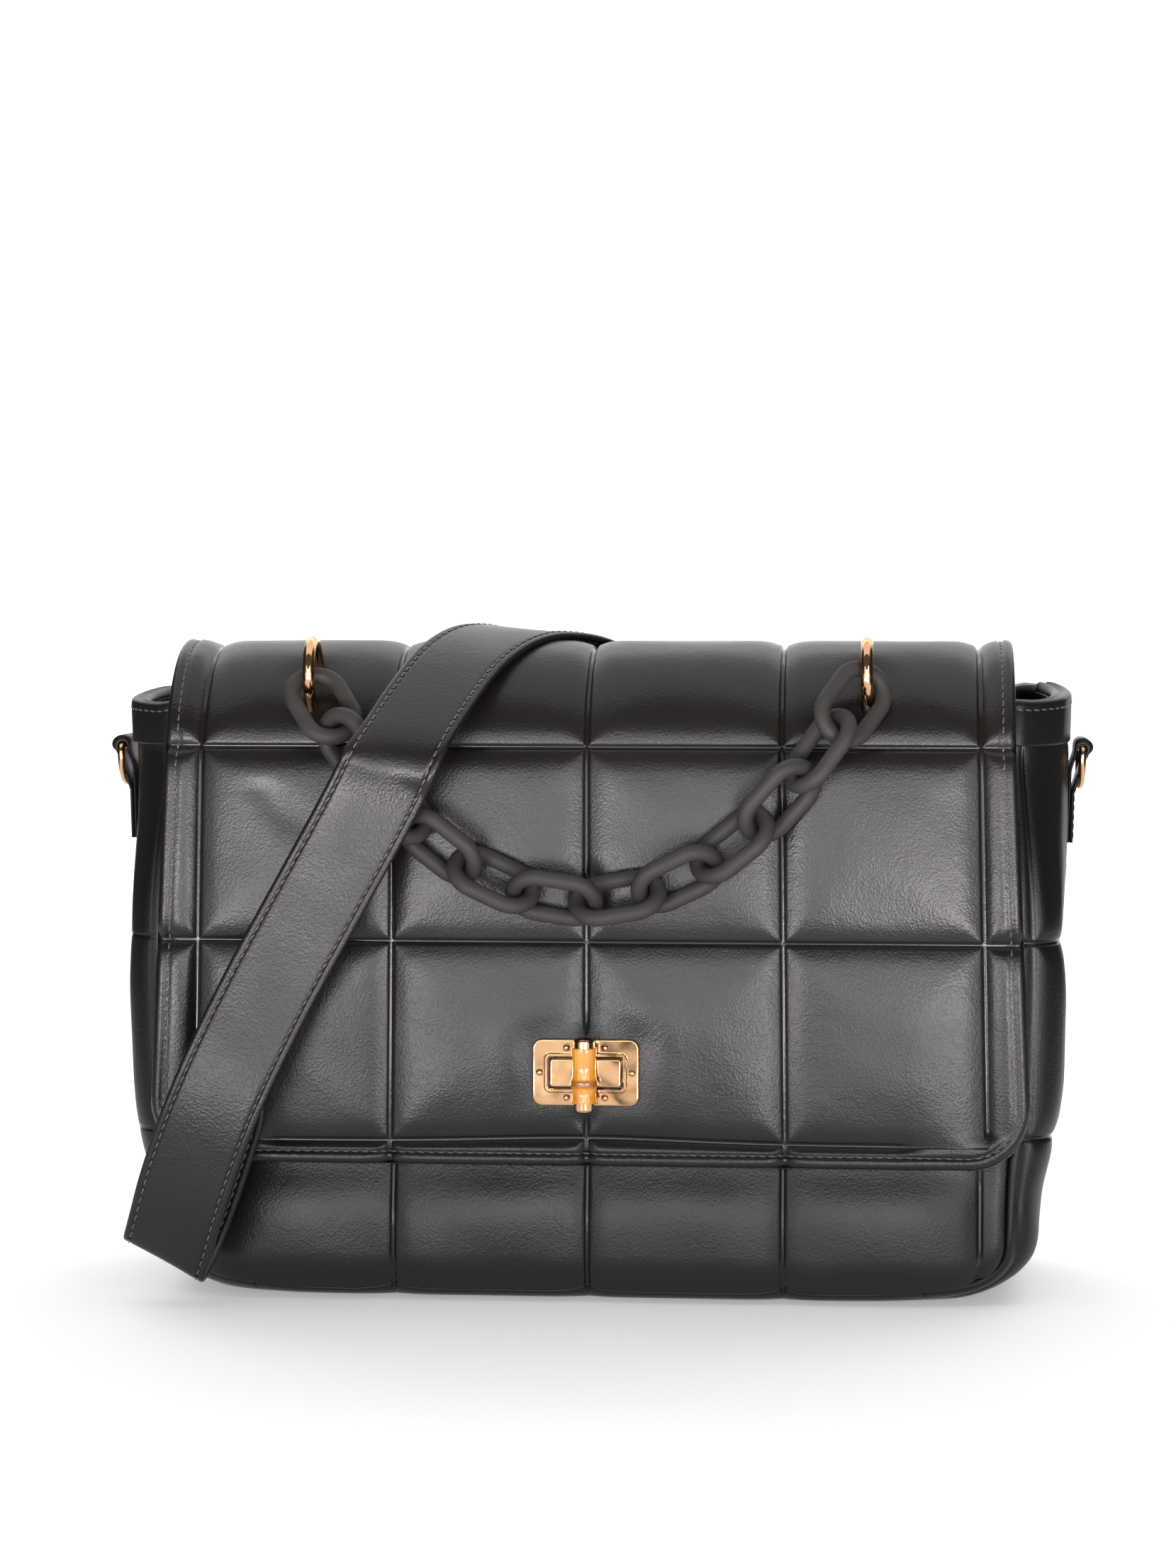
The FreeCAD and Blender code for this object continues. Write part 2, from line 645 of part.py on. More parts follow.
def chainFrames():
    # The chain hangs in a catenary on the flap, each end link caught under an arch.
    hold = (linkLength - linkWire) / 2
    startX = -archX - endReach
    endStep = linkPitch / 2 - endSlack
    length = 2 * (hold - endSlack) + (linkCount - 1) * linkPitch - chainTension
    target = length / (-2 * startX)
    low = 0.001
    high = 6.0
    for step in range(80):
        middle = (low + high) / 2
        if math.sinh(middle) / middle < target:
            low = middle
        else:
            high = middle
    scale = -startX / low

    def at(run):
        x = scale * math.asinh(run / scale + math.sinh(startX / scale))
        down = endDrop + scale * (math.cosh(startX / scale) - math.cosh(x / scale))
        point, normal = onFlap(x, down, linkLift)
        near = min(run, length - run)
        ramp = min(max(near / endRamp, 0.0), 1.0)
        bump = min(max((near - bumpStart) / bumpLength, 0.0), 1.0)
        extra = bumpLift * math.sin(math.pi * bump) ** 2 - (1 - ramp) * (linkLift - endLift)
        return point + normal * extra, normal

    def after(run, distance):
        start = at(run)[0]
        near = run
        far = run + distance * 1.6
        for step in range(60):
            middle = (near + far) / 2
            if (at(middle)[0] - start).Length < distance:
                near = middle
            else:
                far = middle
        return near

    frames = []
    run = 0.0
    for index in range(linkCount):
        first = index == 0
        last = index == linkCount - 1
        following = after(run, hold + endStep if first or last else linkPitch)
        start = at(run)[0]
        along = (at(following)[0] - start).normalize()
        centre = start + along * (hold if first else endStep if last else linkPitch / 2)
        roll = linkRoll if index % 2 == 0 else -linkRollBack
        roll = firstRoll if first else lastRoll if last else roll
        normal = at((run + following) / 2)[1]
        normal = (normal - along * normal.dot(along)).normalize()
        turn = math.radians(roll)
        side = along.cross(normal) * math.cos(turn) + normal * math.sin(turn)
        frames.append((centre, along, side))
        run = following
    return frames


def makeChain():
    link = chainLink()
    for index, (centre, along, side) in enumerate(chainFrames()):
        save("chain_link_%02d" % (index + 1), placed(link, centre, along, side, along.cross(side)))


def makeSides():
    # Tab section: u out from the gusset, v up; the fold holds the ring's bar.
    loopZ = tabHeight - tabLoopWall - ringWire / 2 - 0.2
    loopInner = ringWire / 2 + 0.2
    loopOuter = loopInner + tabLoopWall
    strip = [
        (0, 0, 0), (tabThickness, 0, 0), (tabThickness, loopZ - tabRise, 0),
        (ringOut, loopZ - loopOuter + 0.4, 0), (ringOut, loopZ + loopOuter - 0.4, 0), (0, loopZ - 4, 0)]
    tab = prismY(strip, -tabWidth / 2, tabWidth / 2)
    ends = [Vec(ringOut, sign * tabWidth / 2, loopZ) for sign in (-1, 1)]
    tab = join([tab, rod(ends[0], ends[1], loopOuter)]).cut(rod(ends[0], ends[1], loopInner))
    # D-ring: a straight bar, two short legs and a half-round bow.
    half = ringHalfWidth
    foot = loopZ - ringLeg
    bulge = ringCorner * (1 - math.sqrt(0.5))
    path = [
        Part.makeLine(Vec(ringOut, -half + ringCorner, loopZ), Vec(ringOut, half - ringCorner, loopZ)),
        Part.Arc(Vec(ringOut, half - ringCorner, loopZ), Vec(ringOut, half - bulge, loopZ - bulge),
                 Vec(ringOut, half, loopZ - ringCorner)).toShape(),
        Part.makeLine(Vec(ringOut, half, loopZ - ringCorner), Vec(ringOut, half, foot)),
        Part.Arc(Vec(ringOut, half, foot), Vec(ringOut, 0, foot - half),
                 Vec(ringOut, -half, foot)).toShape(),
        Part.makeLine(Vec(ringOut, -half, foot), Vec(ringOut, -half, loopZ - ringCorner)),
        Part.Arc(Vec(ringOut, -half, loopZ - ringCorner), Vec(ringOut, -half + bulge, loopZ - bulge),
                 Vec(ringOut, -half + ringCorner, loopZ)).toShape()]
    ring = sweepClosed(path, ringWire / 2)
    lean = math.atan((halfWidthRim - halfWidthBase) / rimHeight)
    out = Vec(math.cos(lean), 0, -math.sin(lean))
    up = Vec(math.sin(lean), 0, math.cos(lean))
    foot = Vec(halfWidth(tabZ) + fitGap, 0, tabZ)
    for name, sign in (("left", -1), ("right", 1)):
        for node, solid in (("side_tab", tab), ("d_ring", ring)):
            solid = placed(solid, foot, out, Vec(0, 1, 0), up)
            if sign < 0:
                solid = solid.mirror(Vec(0, 0, 0), Vec(1, 0, 0))
            save(name + "_" + node, solid)
    return foot + out * ringOut + up * loopZ


def sweepClosed(path, radius):
    # A round wire along lines and arcs, one piece per edge, joined into one solid.
    pieces = []
    for edge in path:
        tangent = edge.tangentAt(edge.FirstParameter)
        begin = edge.valueAt(edge.FirstParameter)
        circle = Part.Face(Part.Wire(Part.makeCircle(radius, begin, tangent)))
        if edge.Curve.TypeId == "Part::GeomLine":
            pieces.append(circle.extrude(edge.valueAt(edge.LastParameter) - begin))
        else:
            turn = math.degrees(edge.LastParameter - edge.FirstParameter)
            pieces.append(circle.revolve(edge.Curve.Center, edge.Curve.Axis, turn))
    return join(pieces)


# Strap route from the front hook to the back hook: centre x, y, z and the width's lean in degrees.
strapRoute = [
    (-123.0, -73.0, 100.0, 26.0), (-129.5, -72.0, 84.0, 26.0), (-136.0, -70.5, 66.0, 26.0),
    (-142.5, -69.5, 46.0, 28.0), (-149.5, -69.5, 27.5, 29.0), (-155.0, -79.5, 16.0, 29.0),
    (-150.5, -89.0, 27.5, 29.0), (-144.5, -90.5, 46.5, 28.0), (-132.0, -91.0, 79.0, 26.0),
    (-114.5, -89.0, 116.0, 20.0), (-94.0, -87.0, 153.0, 10.0), (-74.5, -87.5, 188.0, 0.0),
    (-66.0, -91.5, 205.0, 0.0), (-57.0, -69.0, 223.0, 2.0), (-47.0, -43.0, 239.4, 4.0),
    (-34.0, -19.0, 247.2, 5.0), (-18.0, 8.0, 244.9, 5.0), (-3.0, 30.3, 235.0, 3.0),
    (9.0, 46.0, 219.8, 0.0), (22.0, 48.5, 197.0, 0.0), (44.0, 52.0, 165.0, 0.0),
    (71.0, 57.0, 122.0, 0.0), (99.0, 63.0, 76.0, 0.0)]


def strapCurve():
    curve = Part.BSplineCurve()
    poles = [Vec(*point[:3]) for point in strapRoute]
    spans = len(poles) - 2
    curve.buildFromPolesMultsKnots(poles, [3] + [1] * (spans - 1) + [3], list(range(spans + 1)), False, 2)
    return curve, spans


def strapFrame(curve, spans, u):
    # Point, direction along the strap and width direction at a place on the route.
    point = curve.value(u)
    along = curve.tangent(u)[0]
    place = u / spans * (len(strapRoute) - 1)
    low = min(int(place), len(strapRoute) - 2)
    lean = math.radians(lerp(strapRoute[low][3], strapRoute[low + 1][3], place - low))
    hint = Vec(math.cos(lean), 0, -math.sin(lean))
    width = (hint - along * hint.dot(along)).normalize()
    return point, along, width


def makeStrap():
    curve, spans = strapCurve()
    wires = []
    length = curve.length()
    for index in range(strapSections + 1):
        u = spans * index / strapSections
        point, along, width = strapFrame(curve, spans, u)
        run = curve.length(0, u) if u > 0 else 0.0
        near = min(run, length - run)
        ramp = min(near / strapTaper, 1.0)
        ramp = ramp * ramp * (3 - 2 * ramp)
        half = lerp(strapEndWidth, strapWidth, ramp) / 2
        thick = along.cross(width).normalize() * strapThickness / 2
        side = width * half
        wires.append(Part.makePolygon([point - side - thick, point + side - thick, point + side + thick,
                                       point - side + thick, point - side - thick]))
    band = Part.makeLoft(wires, True, True)
    # Each end folds round the bar of its hook.
    inner = hookBar / 2 + moveGap
    outer = inner + eyeWall
    eyes = []
    hollows = []
    ends = []
    for u, sign in ((0.0, -1), (spans, 1)):
        point, along, width = strapFrame(curve, spans, u)
        away = along * sign
        bar = point + away * (outer - 0.6)
        side = width * strapEndWidth / 2
        eyes.append(rod(bar - side, bar + side, outer))
        hollows.append(rod(bar - side * 1.2, bar + side * 1.2, inner))
        ends.append((bar, away, width))
    strap = join([band] + eyes).cut(hollows)
    save("shoulder_strap", strap)
    return ends, length


def makeHooks(ends):
    # Each hook is drawn with Y away from the strap, X across it and Z off its face.
    bar = hookBar / 2
    w = hookHalfWidth
    deep = hookLoopDepth
    c = hookLoopCorner
    k = c * (1 - math.sqrt(0.5))
    loopPath = [Part.makeLine(Vec(-w + c, 0, 0), Vec(w - c, 0, 0))]
    corners = [(w, 0, -1, 1), (w, deep, -1, -1), (-w, deep, 1, -1), (-w, 0, 1, 1)]
    runs = [
        (Vec(w, c, 0), Vec(w, deep - c, 0)), (Vec(w - c, deep, 0), Vec(-w + c, deep, 0)),
        (Vec(-w, deep - c, 0), Vec(-w, c, 0)), None]
    before = Vec(w - c, 0, 0)
    for (x, y, sx, sy), run in zip(corners, runs):
        stop = run[0] if run else Vec(-w + c, 0, 0)
        loopPath.append(Part.Arc(before, Vec(x + sx * k, y + sy * k, 0), stop).toShape())
        if run:
            loopPath.append(Part.makeLine(run[0], run[1]))
            before = run[1]
    loop = sweepClosed(loopPath, bar)
    barrelStart = deep - bar - 0.4
    barrelEnd = barrelStart + barrelLength
    loop = join([loop, rod(Vec(0, barrelStart, 0), Vec(0, barrelEnd, 0), barrelRadius)])
    loop = loop.cut(rod(Vec(0, barrelStart - 5, 0), Vec(0, barrelEnd + 5, 0), swivelRadius + swivelRun))

    # Claw: swivel pin with a retaining head, a block and a bent hook.
    blockStart = barrelEnd + 0.3
    blockEnd = blockStart + clawBlockLength
    pinHead = rod(Vec(0, barrelStart - 1.5, 0), Vec(0, barrelStart - 0.3, 0), swivelRadius + 1.0)
    pin = rod(Vec(0, barrelStart - 1.0, 0), Vec(0, blockStart + 1, 0), swivelRadius)
    reach = clawHalfWidth + clawWire / 2
    t = clawBlockThickness / 2
    block = Part.makeBox(2 * reach, clawBlockLength, 2 * t, Vec(-reach, blockStart, -t))
    block = block.makeFillet(1.2, [e for e in block.Edges if abs(e.tangentAt(0).y) > 0.9])
    bend = blockEnd + clawStraight
    tip = blockEnd + clawStraight * 0.62
    hookPath = [
        Part.makeLine(Vec(clawHalfWidth, blockEnd - 1, 0), Vec(clawHalfWidth, bend, 0)),
        Part.Arc(Vec(clawHalfWidth, bend, 0), Vec(0, bend + clawHalfWidth, 0),
                 Vec(-clawHalfWidth, bend, 0)).toShape(),
        Part.makeLine(Vec(-clawHalfWidth, bend, 0), Vec(-clawHalfWidth, tip, 0))]
    claw = join([pinHead, pin, block, sweepClosed(hookPath, clawWire / 2)])
    # Gate: a lever on a cross pin in the block's fork, closing on the hook's tip.
    g = gateThickness / 2
    pivot = Vec(-clawHalfWidth, blockEnd - 1.6, 0)
    fork = Part.makeBox(6.0, 8.0, 2 * (g + moveGap), Vec(pivot.x - 3.4, pivot.y - 2.4, -g - moveGap))
    claw = claw.cut(fork)
    claw = join([claw, rod(pivot - Vec(0, 0, t - 0.4), pivot + Vec(0, 0, t - 0.4), gatePinRadius)])
    arm = Part.makeBox(2.8, tip - moveGap - pivot.y, 2 * g, Vec(pivot.x - 1.4, pivot.y, -g))
    gate = join([arm, rod(pivot - Vec(0, 0, g), pivot + Vec(0, 0, g), 2.0)])
    gate = gate.cut(rod(pivot - Vec(0, 0, 5), pivot + Vec(0, 0, 5), gatePinRadius + 0.08))
    for name, (origin, away, width) in zip(("front", "back"), ends):
        face = width.cross(away)
        for node, solid in (("hook_loop", loop), ("hook_claw", claw), ("hook_gate", gate)):
            save(name + "_" + node, placed(solid, origin, width, away, face))
    return pivot


os.makedirs("parts", exist_ok=True)
makeBody()
makeFlap()
makeLock()
makeArches()
makeChain()
ringBar = makeSides()
strapEnds, strapLength = makeStrap()
gatePivot = makeHooks(strapEnds)

# Joint places for the record.
archPoint, archNormal, archDownhill = archFrame(1)
print("hinge", hingeY, round(hingeZ, 3))
print("arch axis", archPoint + archNormal * archLeg)
print("ring bar", ringBar)
print("strap length", round(strapLength, 1))
for origin, away, width in strapEnds:
    face = width.cross(away)
    print("hook", origin, away, width, "gate", origin + width * gatePivot.x + away * gatePivot.y, face)
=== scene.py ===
import bpy
import json
import math
import numpy as np
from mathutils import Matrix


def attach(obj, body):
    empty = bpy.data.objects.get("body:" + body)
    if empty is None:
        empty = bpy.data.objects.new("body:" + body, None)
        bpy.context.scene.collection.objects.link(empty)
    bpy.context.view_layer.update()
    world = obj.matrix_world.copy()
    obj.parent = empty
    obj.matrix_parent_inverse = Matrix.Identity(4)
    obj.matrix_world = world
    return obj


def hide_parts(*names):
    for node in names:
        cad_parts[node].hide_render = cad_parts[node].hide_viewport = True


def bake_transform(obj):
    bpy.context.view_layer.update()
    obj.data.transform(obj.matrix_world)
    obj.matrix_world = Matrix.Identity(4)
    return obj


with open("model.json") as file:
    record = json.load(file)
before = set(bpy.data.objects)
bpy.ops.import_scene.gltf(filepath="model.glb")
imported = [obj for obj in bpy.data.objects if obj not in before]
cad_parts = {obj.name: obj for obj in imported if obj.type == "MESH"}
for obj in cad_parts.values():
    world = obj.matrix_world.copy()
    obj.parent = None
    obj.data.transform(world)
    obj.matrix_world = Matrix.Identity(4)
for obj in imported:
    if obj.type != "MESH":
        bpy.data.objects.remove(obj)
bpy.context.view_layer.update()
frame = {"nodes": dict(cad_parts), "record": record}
mm = 0.001
print("frame loaded:", len(frame["nodes"]), "nodes")


def linear(hexColour):
    # sRGB hex to linear RGBA
    value = np.array([int(hexColour[i:i + 2], 16) for i in (1, 3, 5)]) / 255
    light = np.where(value <= 0.04045, value / 12.92, ((value + 0.055) / 1.055) ** 2.4)
    return (*light.tolist(), 1.0)


def addNode(tree, kind, inputs=None, **settings):
    # one node with its settings; an input is a plain value or a socket to link from
    node = tree.nodes.new(kind)
    for key, value in settings.items():
        setattr(node, key, value)
    for key, value in (inputs or {}).items():
        if isinstance(value, bpy.types.NodeSocket):
            tree.links.new(value, node.inputs[key])
        else:
            node.inputs[key].default_value = value
    return node


def startMaterial(name, **sockets):
    # a new material, its node tree, its shader and the object coordinates; sockets are set on the shader
    material = bpy.data.materials.new(name)
    material.use_nodes = True
    tree = material.node_tree
    shader = tree.nodes["Principled BSDF"]
    for key, value in sockets.items():
        shader.inputs[key.replace("_", " ")].default_value = value
    place = addNode(tree, "ShaderNodeTexCoord").outputs["Object"]
    return material, tree, shader, place


def blendColour(tree, factor, dark, light):
    # a colour socket that goes from dark to light as the factor goes from 0 to 1
    return addNode(tree, "ShaderNodeMix", {0: factor, 6: linear(dark), 7: linear(light)}, data_type="RGBA").outputs[2]


def leatherLook(name, look):
    # Coated leather, embossed with a fine pebble and left satin: broad soft highlights broken up by the grain,
    # which is pressed flat and slightly shinier along the quilting channels and stitch lines.
    material, tree, shader, place = startMaterial(name, IOR=look["ior"])
    pressed = addNode(tree, "ShaderNodeAttribute", attribute_name="pressed").outputs["Fac"]
    pebble = addNode(tree, "ShaderNodeTexVoronoi", {"Vector": place, "Scale": 1000 / look["grainMm"]},
                     feature="SMOOTH_F1")
    creases = addNode(tree, "ShaderNodeTexNoise", {"Vector": place, "Scale": 1000 / look["creaseMm"], "Detail": 4.0})
    cloud = addNode(tree, "ShaderNodeTexNoise", {"Vector": place, "Scale": 1000 / look["cloudMm"], "Detail": 3.0})
    height = addNode(tree, "ShaderNodeMath", {0: creases.outputs["Fac"], 1: 0.5, 2: pebble.outputs["Distance"]},
                     operation="MULTIPLY_ADD").outputs[0]
    raised = addNode(tree, "ShaderNodeMath", {0: 1.0, 1: pressed}, operation="SUBTRACT").outputs[0]
    grain = addNode(tree, "ShaderNodeMath", {0: height, 1: raised}, operation="MULTIPLY").outputs[0]
    mottle = addNode(tree, "ShaderNodeTexNoise", {"Vector": place, "Scale": 1000 / 5.0, "Detail": 3.0})
    uneven = addNode(tree, "ShaderNodeBump", {"Strength": 0.35, "Distance": 0.22 * mm, "Height": mottle.outputs["Fac"]})
    bump = addNode(tree, "ShaderNodeBump", {"Strength": look["strength"], "Distance": look["depthMm"] * mm,
                                            "Height": grain, "Normal": uneven.outputs[0]})
    colour = blendColour(tree, cloud.outputs["Fac"], look["dark"], look["light"])
    rough = addNode(tree, "ShaderNodeMapRange", {"Value": cloud.outputs["Fac"], "From Min": 0.3, "From Max": 0.7,
                                                 "To Min": look["rough"] - 0.05, "To Max": look["rough"] + 0.06})
    glossy = addNode(tree, "ShaderNodeMath", {0: pressed, 1: -0.16, 2: rough.outputs[0]}, operation="MULTIPLY_ADD")
    tree.links.new(colour, shader.inputs["Base Color"])
    tree.links.new(glossy.outputs[0], shader.inputs["Roughness"])
    tree.links.new(bump.outputs[0], shader.inputs["Normal"])
    return material


quiltLeather = leatherLook("quiltedLeather", {
    "dark": "#110f0e", "light": "#181514", "grainMm": 0.75, "creaseMm": 1.2, "cloudMm": 60, "rough": 0.31, "ior": 1.42,
    "strength": 0.5, "depthMm": 0.14})
# the sides' and base's copy of the leather: its colour is painted a shade darker than the quilted leather's, as painted
# shade on the sides turned from the light, and it is rougher and less glossy
shadedBodyLeather = leatherLook("shadedBodyLeather", {
    "dark": "#0d0c0c", "light": "#131111", "grainMm": 0.75, "creaseMm": 1.2, "cloudMm": 60, "rough": 0.38, "ior": 1.38,
    "strength": 0.5, "depthMm": 0.14})
strapLeather = leatherLook("strapLeather", {
    "dark": "#110f0e", "light": "#171413", "grainMm": 0.8, "creaseMm": 1.3, "cloudMm": 30, "rough": 0.34, "ior": 1.42,
    "strength": 0.5, "depthMm": 0.2})
bindingLeather = leatherLook("bindingLeather", {
    "dark": "#0e0d0d", "light": "#141211", "grainMm": 1.1, "creaseMm": 2.0, "cloudMm": 30, "rough": 0.40, "ior": 1.33,
    "strength": 0.4, "depthMm": 0.14})


def liningLook():
    # Dark woven viscose lining: a fine over-under weave, matt, with a slight sheen at grazing light.
    material, tree, shader, place = startMaterial("liningCloth", Roughness=0.85, Sheen_Weight=0.3, IOR=1.45)
    threadMm = 0.9    # real thread is about 0.3 mm; drawn coarser so that it shows
    waves = []
    for axis in ("X", "Z"):
        waves.append(addNode(tree, "ShaderNodeTexWave", {"Vector": place, "Scale": 1000 / threadMm / 20,
                                                         "Distortion": 0.6, "Detail": 1.0},
                             wave_type="BANDS", bands_direction=axis).outputs["Fac"])
    weave = addNode(tree, "ShaderNodeMath", {0: waves[0], 1: waves[1]}, operation="MULTIPLY").outputs[0]
    bump = addNode(tree, "ShaderNodeBump", {"Strength": 0.4, "Distance": 0.15 * mm, "Height": weave})
    tree.links.new(blendColour(tree, weave, "#151414", "#26231f"), shader.inputs["Base Color"])
    tree.links.new(bump.outputs[0], shader.inputs["Normal"])
    return material


def goldLook():
    # Zinc casting with a polished light-gold plate: mirror-like, with faint haze, hairlines and soft polishing waves.
    material, tree, shader, place = startMaterial("goldPlate", Metallic=1.0)
    haze = addNode(tree, "ShaderNodeTexNoise", {"Vector": place, "Scale": 1000 / 6.0, "Detail": 5.0})
    hair = addNode(tree, "ShaderNodeTexNoise", {"Vector": place, "Scale": 1000 / 0.8, "Detail": 2.0})
    wave = addNode(tree, "ShaderNodeTexNoise", {"Vector": place, "Scale": 1000 / 16.0, "Detail": 0.0})
    rough = addNode(tree, "ShaderNodeMapRange", {"Value": haze.outputs["Fac"], "From Min": 0.3, "From Max": 0.7,
                                                 "To Min": 0.05, "To Max": 0.12})
    fine = addNode(tree, "ShaderNodeBump", {"Strength": 0.06, "Distance": 0.05 * mm, "Height": hair.outputs["Fac"]})
    bump = addNode(tree, "ShaderNodeBump", {"Strength": 0.4, "Distance": 1.3 * mm, "Height": wave.outputs["Fac"],
                                            "Normal": fine.outputs[0]})
    tree.links.new(blendColour(tree, haze.outputs["Fac"], "#c99a70", "#dfb48a"), shader.inputs["Base Color"])
    tree.links.new(rough.outputs[0], shader.inputs["Roughness"])
    tree.links.new(bump.outputs[0], shader.inputs["Normal"])
    return material


def steelLook():
    # Plain rolled steel, hidden: grey with fine rolling streaks.
    material, tree, shader, place = startMaterial("rolledSteel", Metallic=1.0, Roughness=0.35)
    streak = addNode(tree, "ShaderNodeTexNoise", {"Vector": place, "Scale": 1000 / 2.0, "Detail": 3.0})
    bump = addNode(tree, "ShaderNodeBump", {"Strength": 0.1, "Distance": 0.05 * mm, "Height": streak.outputs["Fac"]})
    tree.links.new(blendColour(tree, streak.outputs["Fac"], "#8d8e90", "#a6a7a8"), shader.inputs["Base Color"])
    tree.links.new(bump.outputs[0], shader.inputs["Normal"])
    return material


def rubberLook():
    # Resin links dipped in a matt soft-touch coat: no clear highlight, a dusty bloom and tiny specks.
    material, tree, shader, place = startMaterial("rubberCoat", IOR=1.42)
    bloom = addNode(tree, "ShaderNodeTexNoise", {"Vector": place, "Scale": 1000 / 9.0, "Detail": 4.0})
    tooth = addNode(tree, "ShaderNodeTexNoise", {"Vector": place, "Scale": 1000 / 0.7, "Detail": 3.0})
    rough = addNode(tree, "ShaderNodeMapRange", {"Value": bloom.outputs["Fac"], "From Min": 0.3, "From Max": 0.7,
                                                 "To Min": 0.58, "To Max": 0.70})
    bump = addNode(tree, "ShaderNodeBump", {"Strength": 0.25, "Distance": 0.08 * mm, "Height": tooth.outputs["Fac"]})
    tree.links.new(blendColour(tree, bloom.outputs["Fac"], "#262423", "#322f2e"), shader.inputs["Base Color"])
    tree.links.new(rough.outputs[0], shader.inputs["Roughness"])
    tree.links.new(bump.outputs[0], shader.inputs["Normal"])
    return material


def bambooLook(nodeZ):
    # Honey bamboo cane under clear lacquer: fibres run along it, browner at the node, with a glassy coat.
    material, tree, shader, place = startMaterial("bambooCane", Roughness=0.35, Coat_Weight=0.8, Coat_Roughness=0.06)
    stretch = addNode(tree, "ShaderNodeMapping", {"Vector": place, "Scale": (1000 / 0.7, 1000 / 0.7, 1000 / 14.0)})
    fibre = addNode(tree, "ShaderNodeTexNoise", {"Vector": stretch.outputs[0], "Scale": 1.0, "Detail": 3.0})
    split = addNode(tree, "ShaderNodeSeparateXYZ", {0: place})
    away = addNode(tree, "ShaderNodeMath", {0: split.outputs["Z"], 1: nodeZ * mm}, operation="SUBTRACT").outputs[0]
    away = addNode(tree, "ShaderNodeMath", {0: away}, operation="ABSOLUTE").outputs[0]
    ring = addNode(tree, "ShaderNodeMapRange", {"Value": away, "From Min": 0.0003, "From Max": 0.0022,
                                                "To Min": 0.75, "To Max": 0.0}, interpolation_type="SMOOTHSTEP")
    body = blendColour(tree, fibre.outputs["Fac"], "#a85806", "#fbab2c")
    colour = addNode(tree, "ShaderNodeMix", {0: ring.outputs[0], 6: body, 7: linear("#6e380c")}, data_type="RGBA")
    bump = addNode(tree, "ShaderNodeBump", {"Strength": 0.2, "Distance": 0.1 * mm, "Height": fibre.outputs["Fac"]})
    tree.links.new(colour.outputs[2], shader.inputs["Base Color"])
    tree.links.new(bump.outputs[0], shader.inputs["Normal"])
    return material


def threadLook():
    # Bonded black polyester thread: tight twist, a little shinier than the leather. Its colour is painted mid-grey,
    # lighter than the black thread, as a painted highlight for the glints along the stitches.
    material, tree, shader, place = startMaterial("paintedGlintThread", Roughness=0.32, IOR=1.55)
    twist = addNode(tree, "ShaderNodeTexNoise", {"Vector": place, "Scale": 1000 / 0.5, "Detail": 2.0})
    bump = addNode(tree, "ShaderNodeBump", {"Strength": 0.5, "Distance": 0.1 * mm, "Height": twist.outputs["Fac"]})
    # painted highlight: the grey that runs from dark to light stands in for the thread's glints
    tree.links.new(blendColour(tree, twist.outputs["Fac"], "#383533", "#5e5a57"), shader.inputs["Base Color"])
    tree.links.new(bump.outputs[0], shader.inputs["Normal"])
    return material


def boardLook():
    # Grey pressed board that stiffens the base, hidden under the lining.
    material, tree, shader, place = startMaterial("pressedBoard", Roughness=0.8)
    fleck = addNode(tree, "ShaderNodeTexNoise", {"Vector": place, "Scale": 1000 / 3.0, "Detail": 4.0})
    tree.links.new(blendColour(tree, fleck.outputs["Fac"], "#4c4a47", "#63605b"), shader.inputs["Base Color"])
    return material


lock = {"z": 86.0, "plateW": 39.0, "plateH": 24.5, "plateCorner": 3.0, "windowW": 29.0, "windowH": 13.2,
        "toggleY": -70.75, "toggleLong": 27.0, "ferrule": 3.4, "cane": 4.1, "caneOval": 1.13, "knotDrop": 3.0}
liningCloth = liningLook()
goldPlate = goldLook()
rolledSteel = steelLook()
rubberCoat = rubberLook()
bambooCane = bambooLook(lock["z"] - lock["knotDrop"])
paintedGlintThread = threadLook()
pressedBoard = boardLook()
print("materials made")


def gridQuads(rows, cols, wrapRows=False, wrapCols=False):
    # quads of a grid of points, row by row; a wrapped side joins its last line to its first
    r, c = np.meshgrid(np.arange(rows - (not wrapRows)), np.arange(cols - (not wrapCols)), indexing="ij")
    below = (r + 1) % rows
    beside = (c + 1) % cols
    return np.stack([r * cols + c, r * cols + beside, below * cols + beside, below * cols + c], -1).reshape(-1, 4)


def addPiece(name, points, faces, material, pressed=None):
    # a mesh object at the origin from points in mm and faces, smooth shaded
    mesh = bpy.data.meshes.new(name)
    mesh.from_pydata((np.asarray(points).reshape(-1, 3) * mm).tolist(), [], [list(f) for f in faces])
    mesh.polygons.foreach_set("use_smooth", np.ones(len(mesh.polygons), bool))
    if pressed is not None:
        layer = mesh.attributes.new("pressed", "FLOAT", "POINT")
        layer.data.foreach_set("value", np.asarray(pressed, np.float32).ravel())
    mesh.materials.append(material)
    mesh.update()
    piece = bpy.data.objects.new(name, mesh)
    bpy.context.scene.collection.objects.link(piece)
    return piece


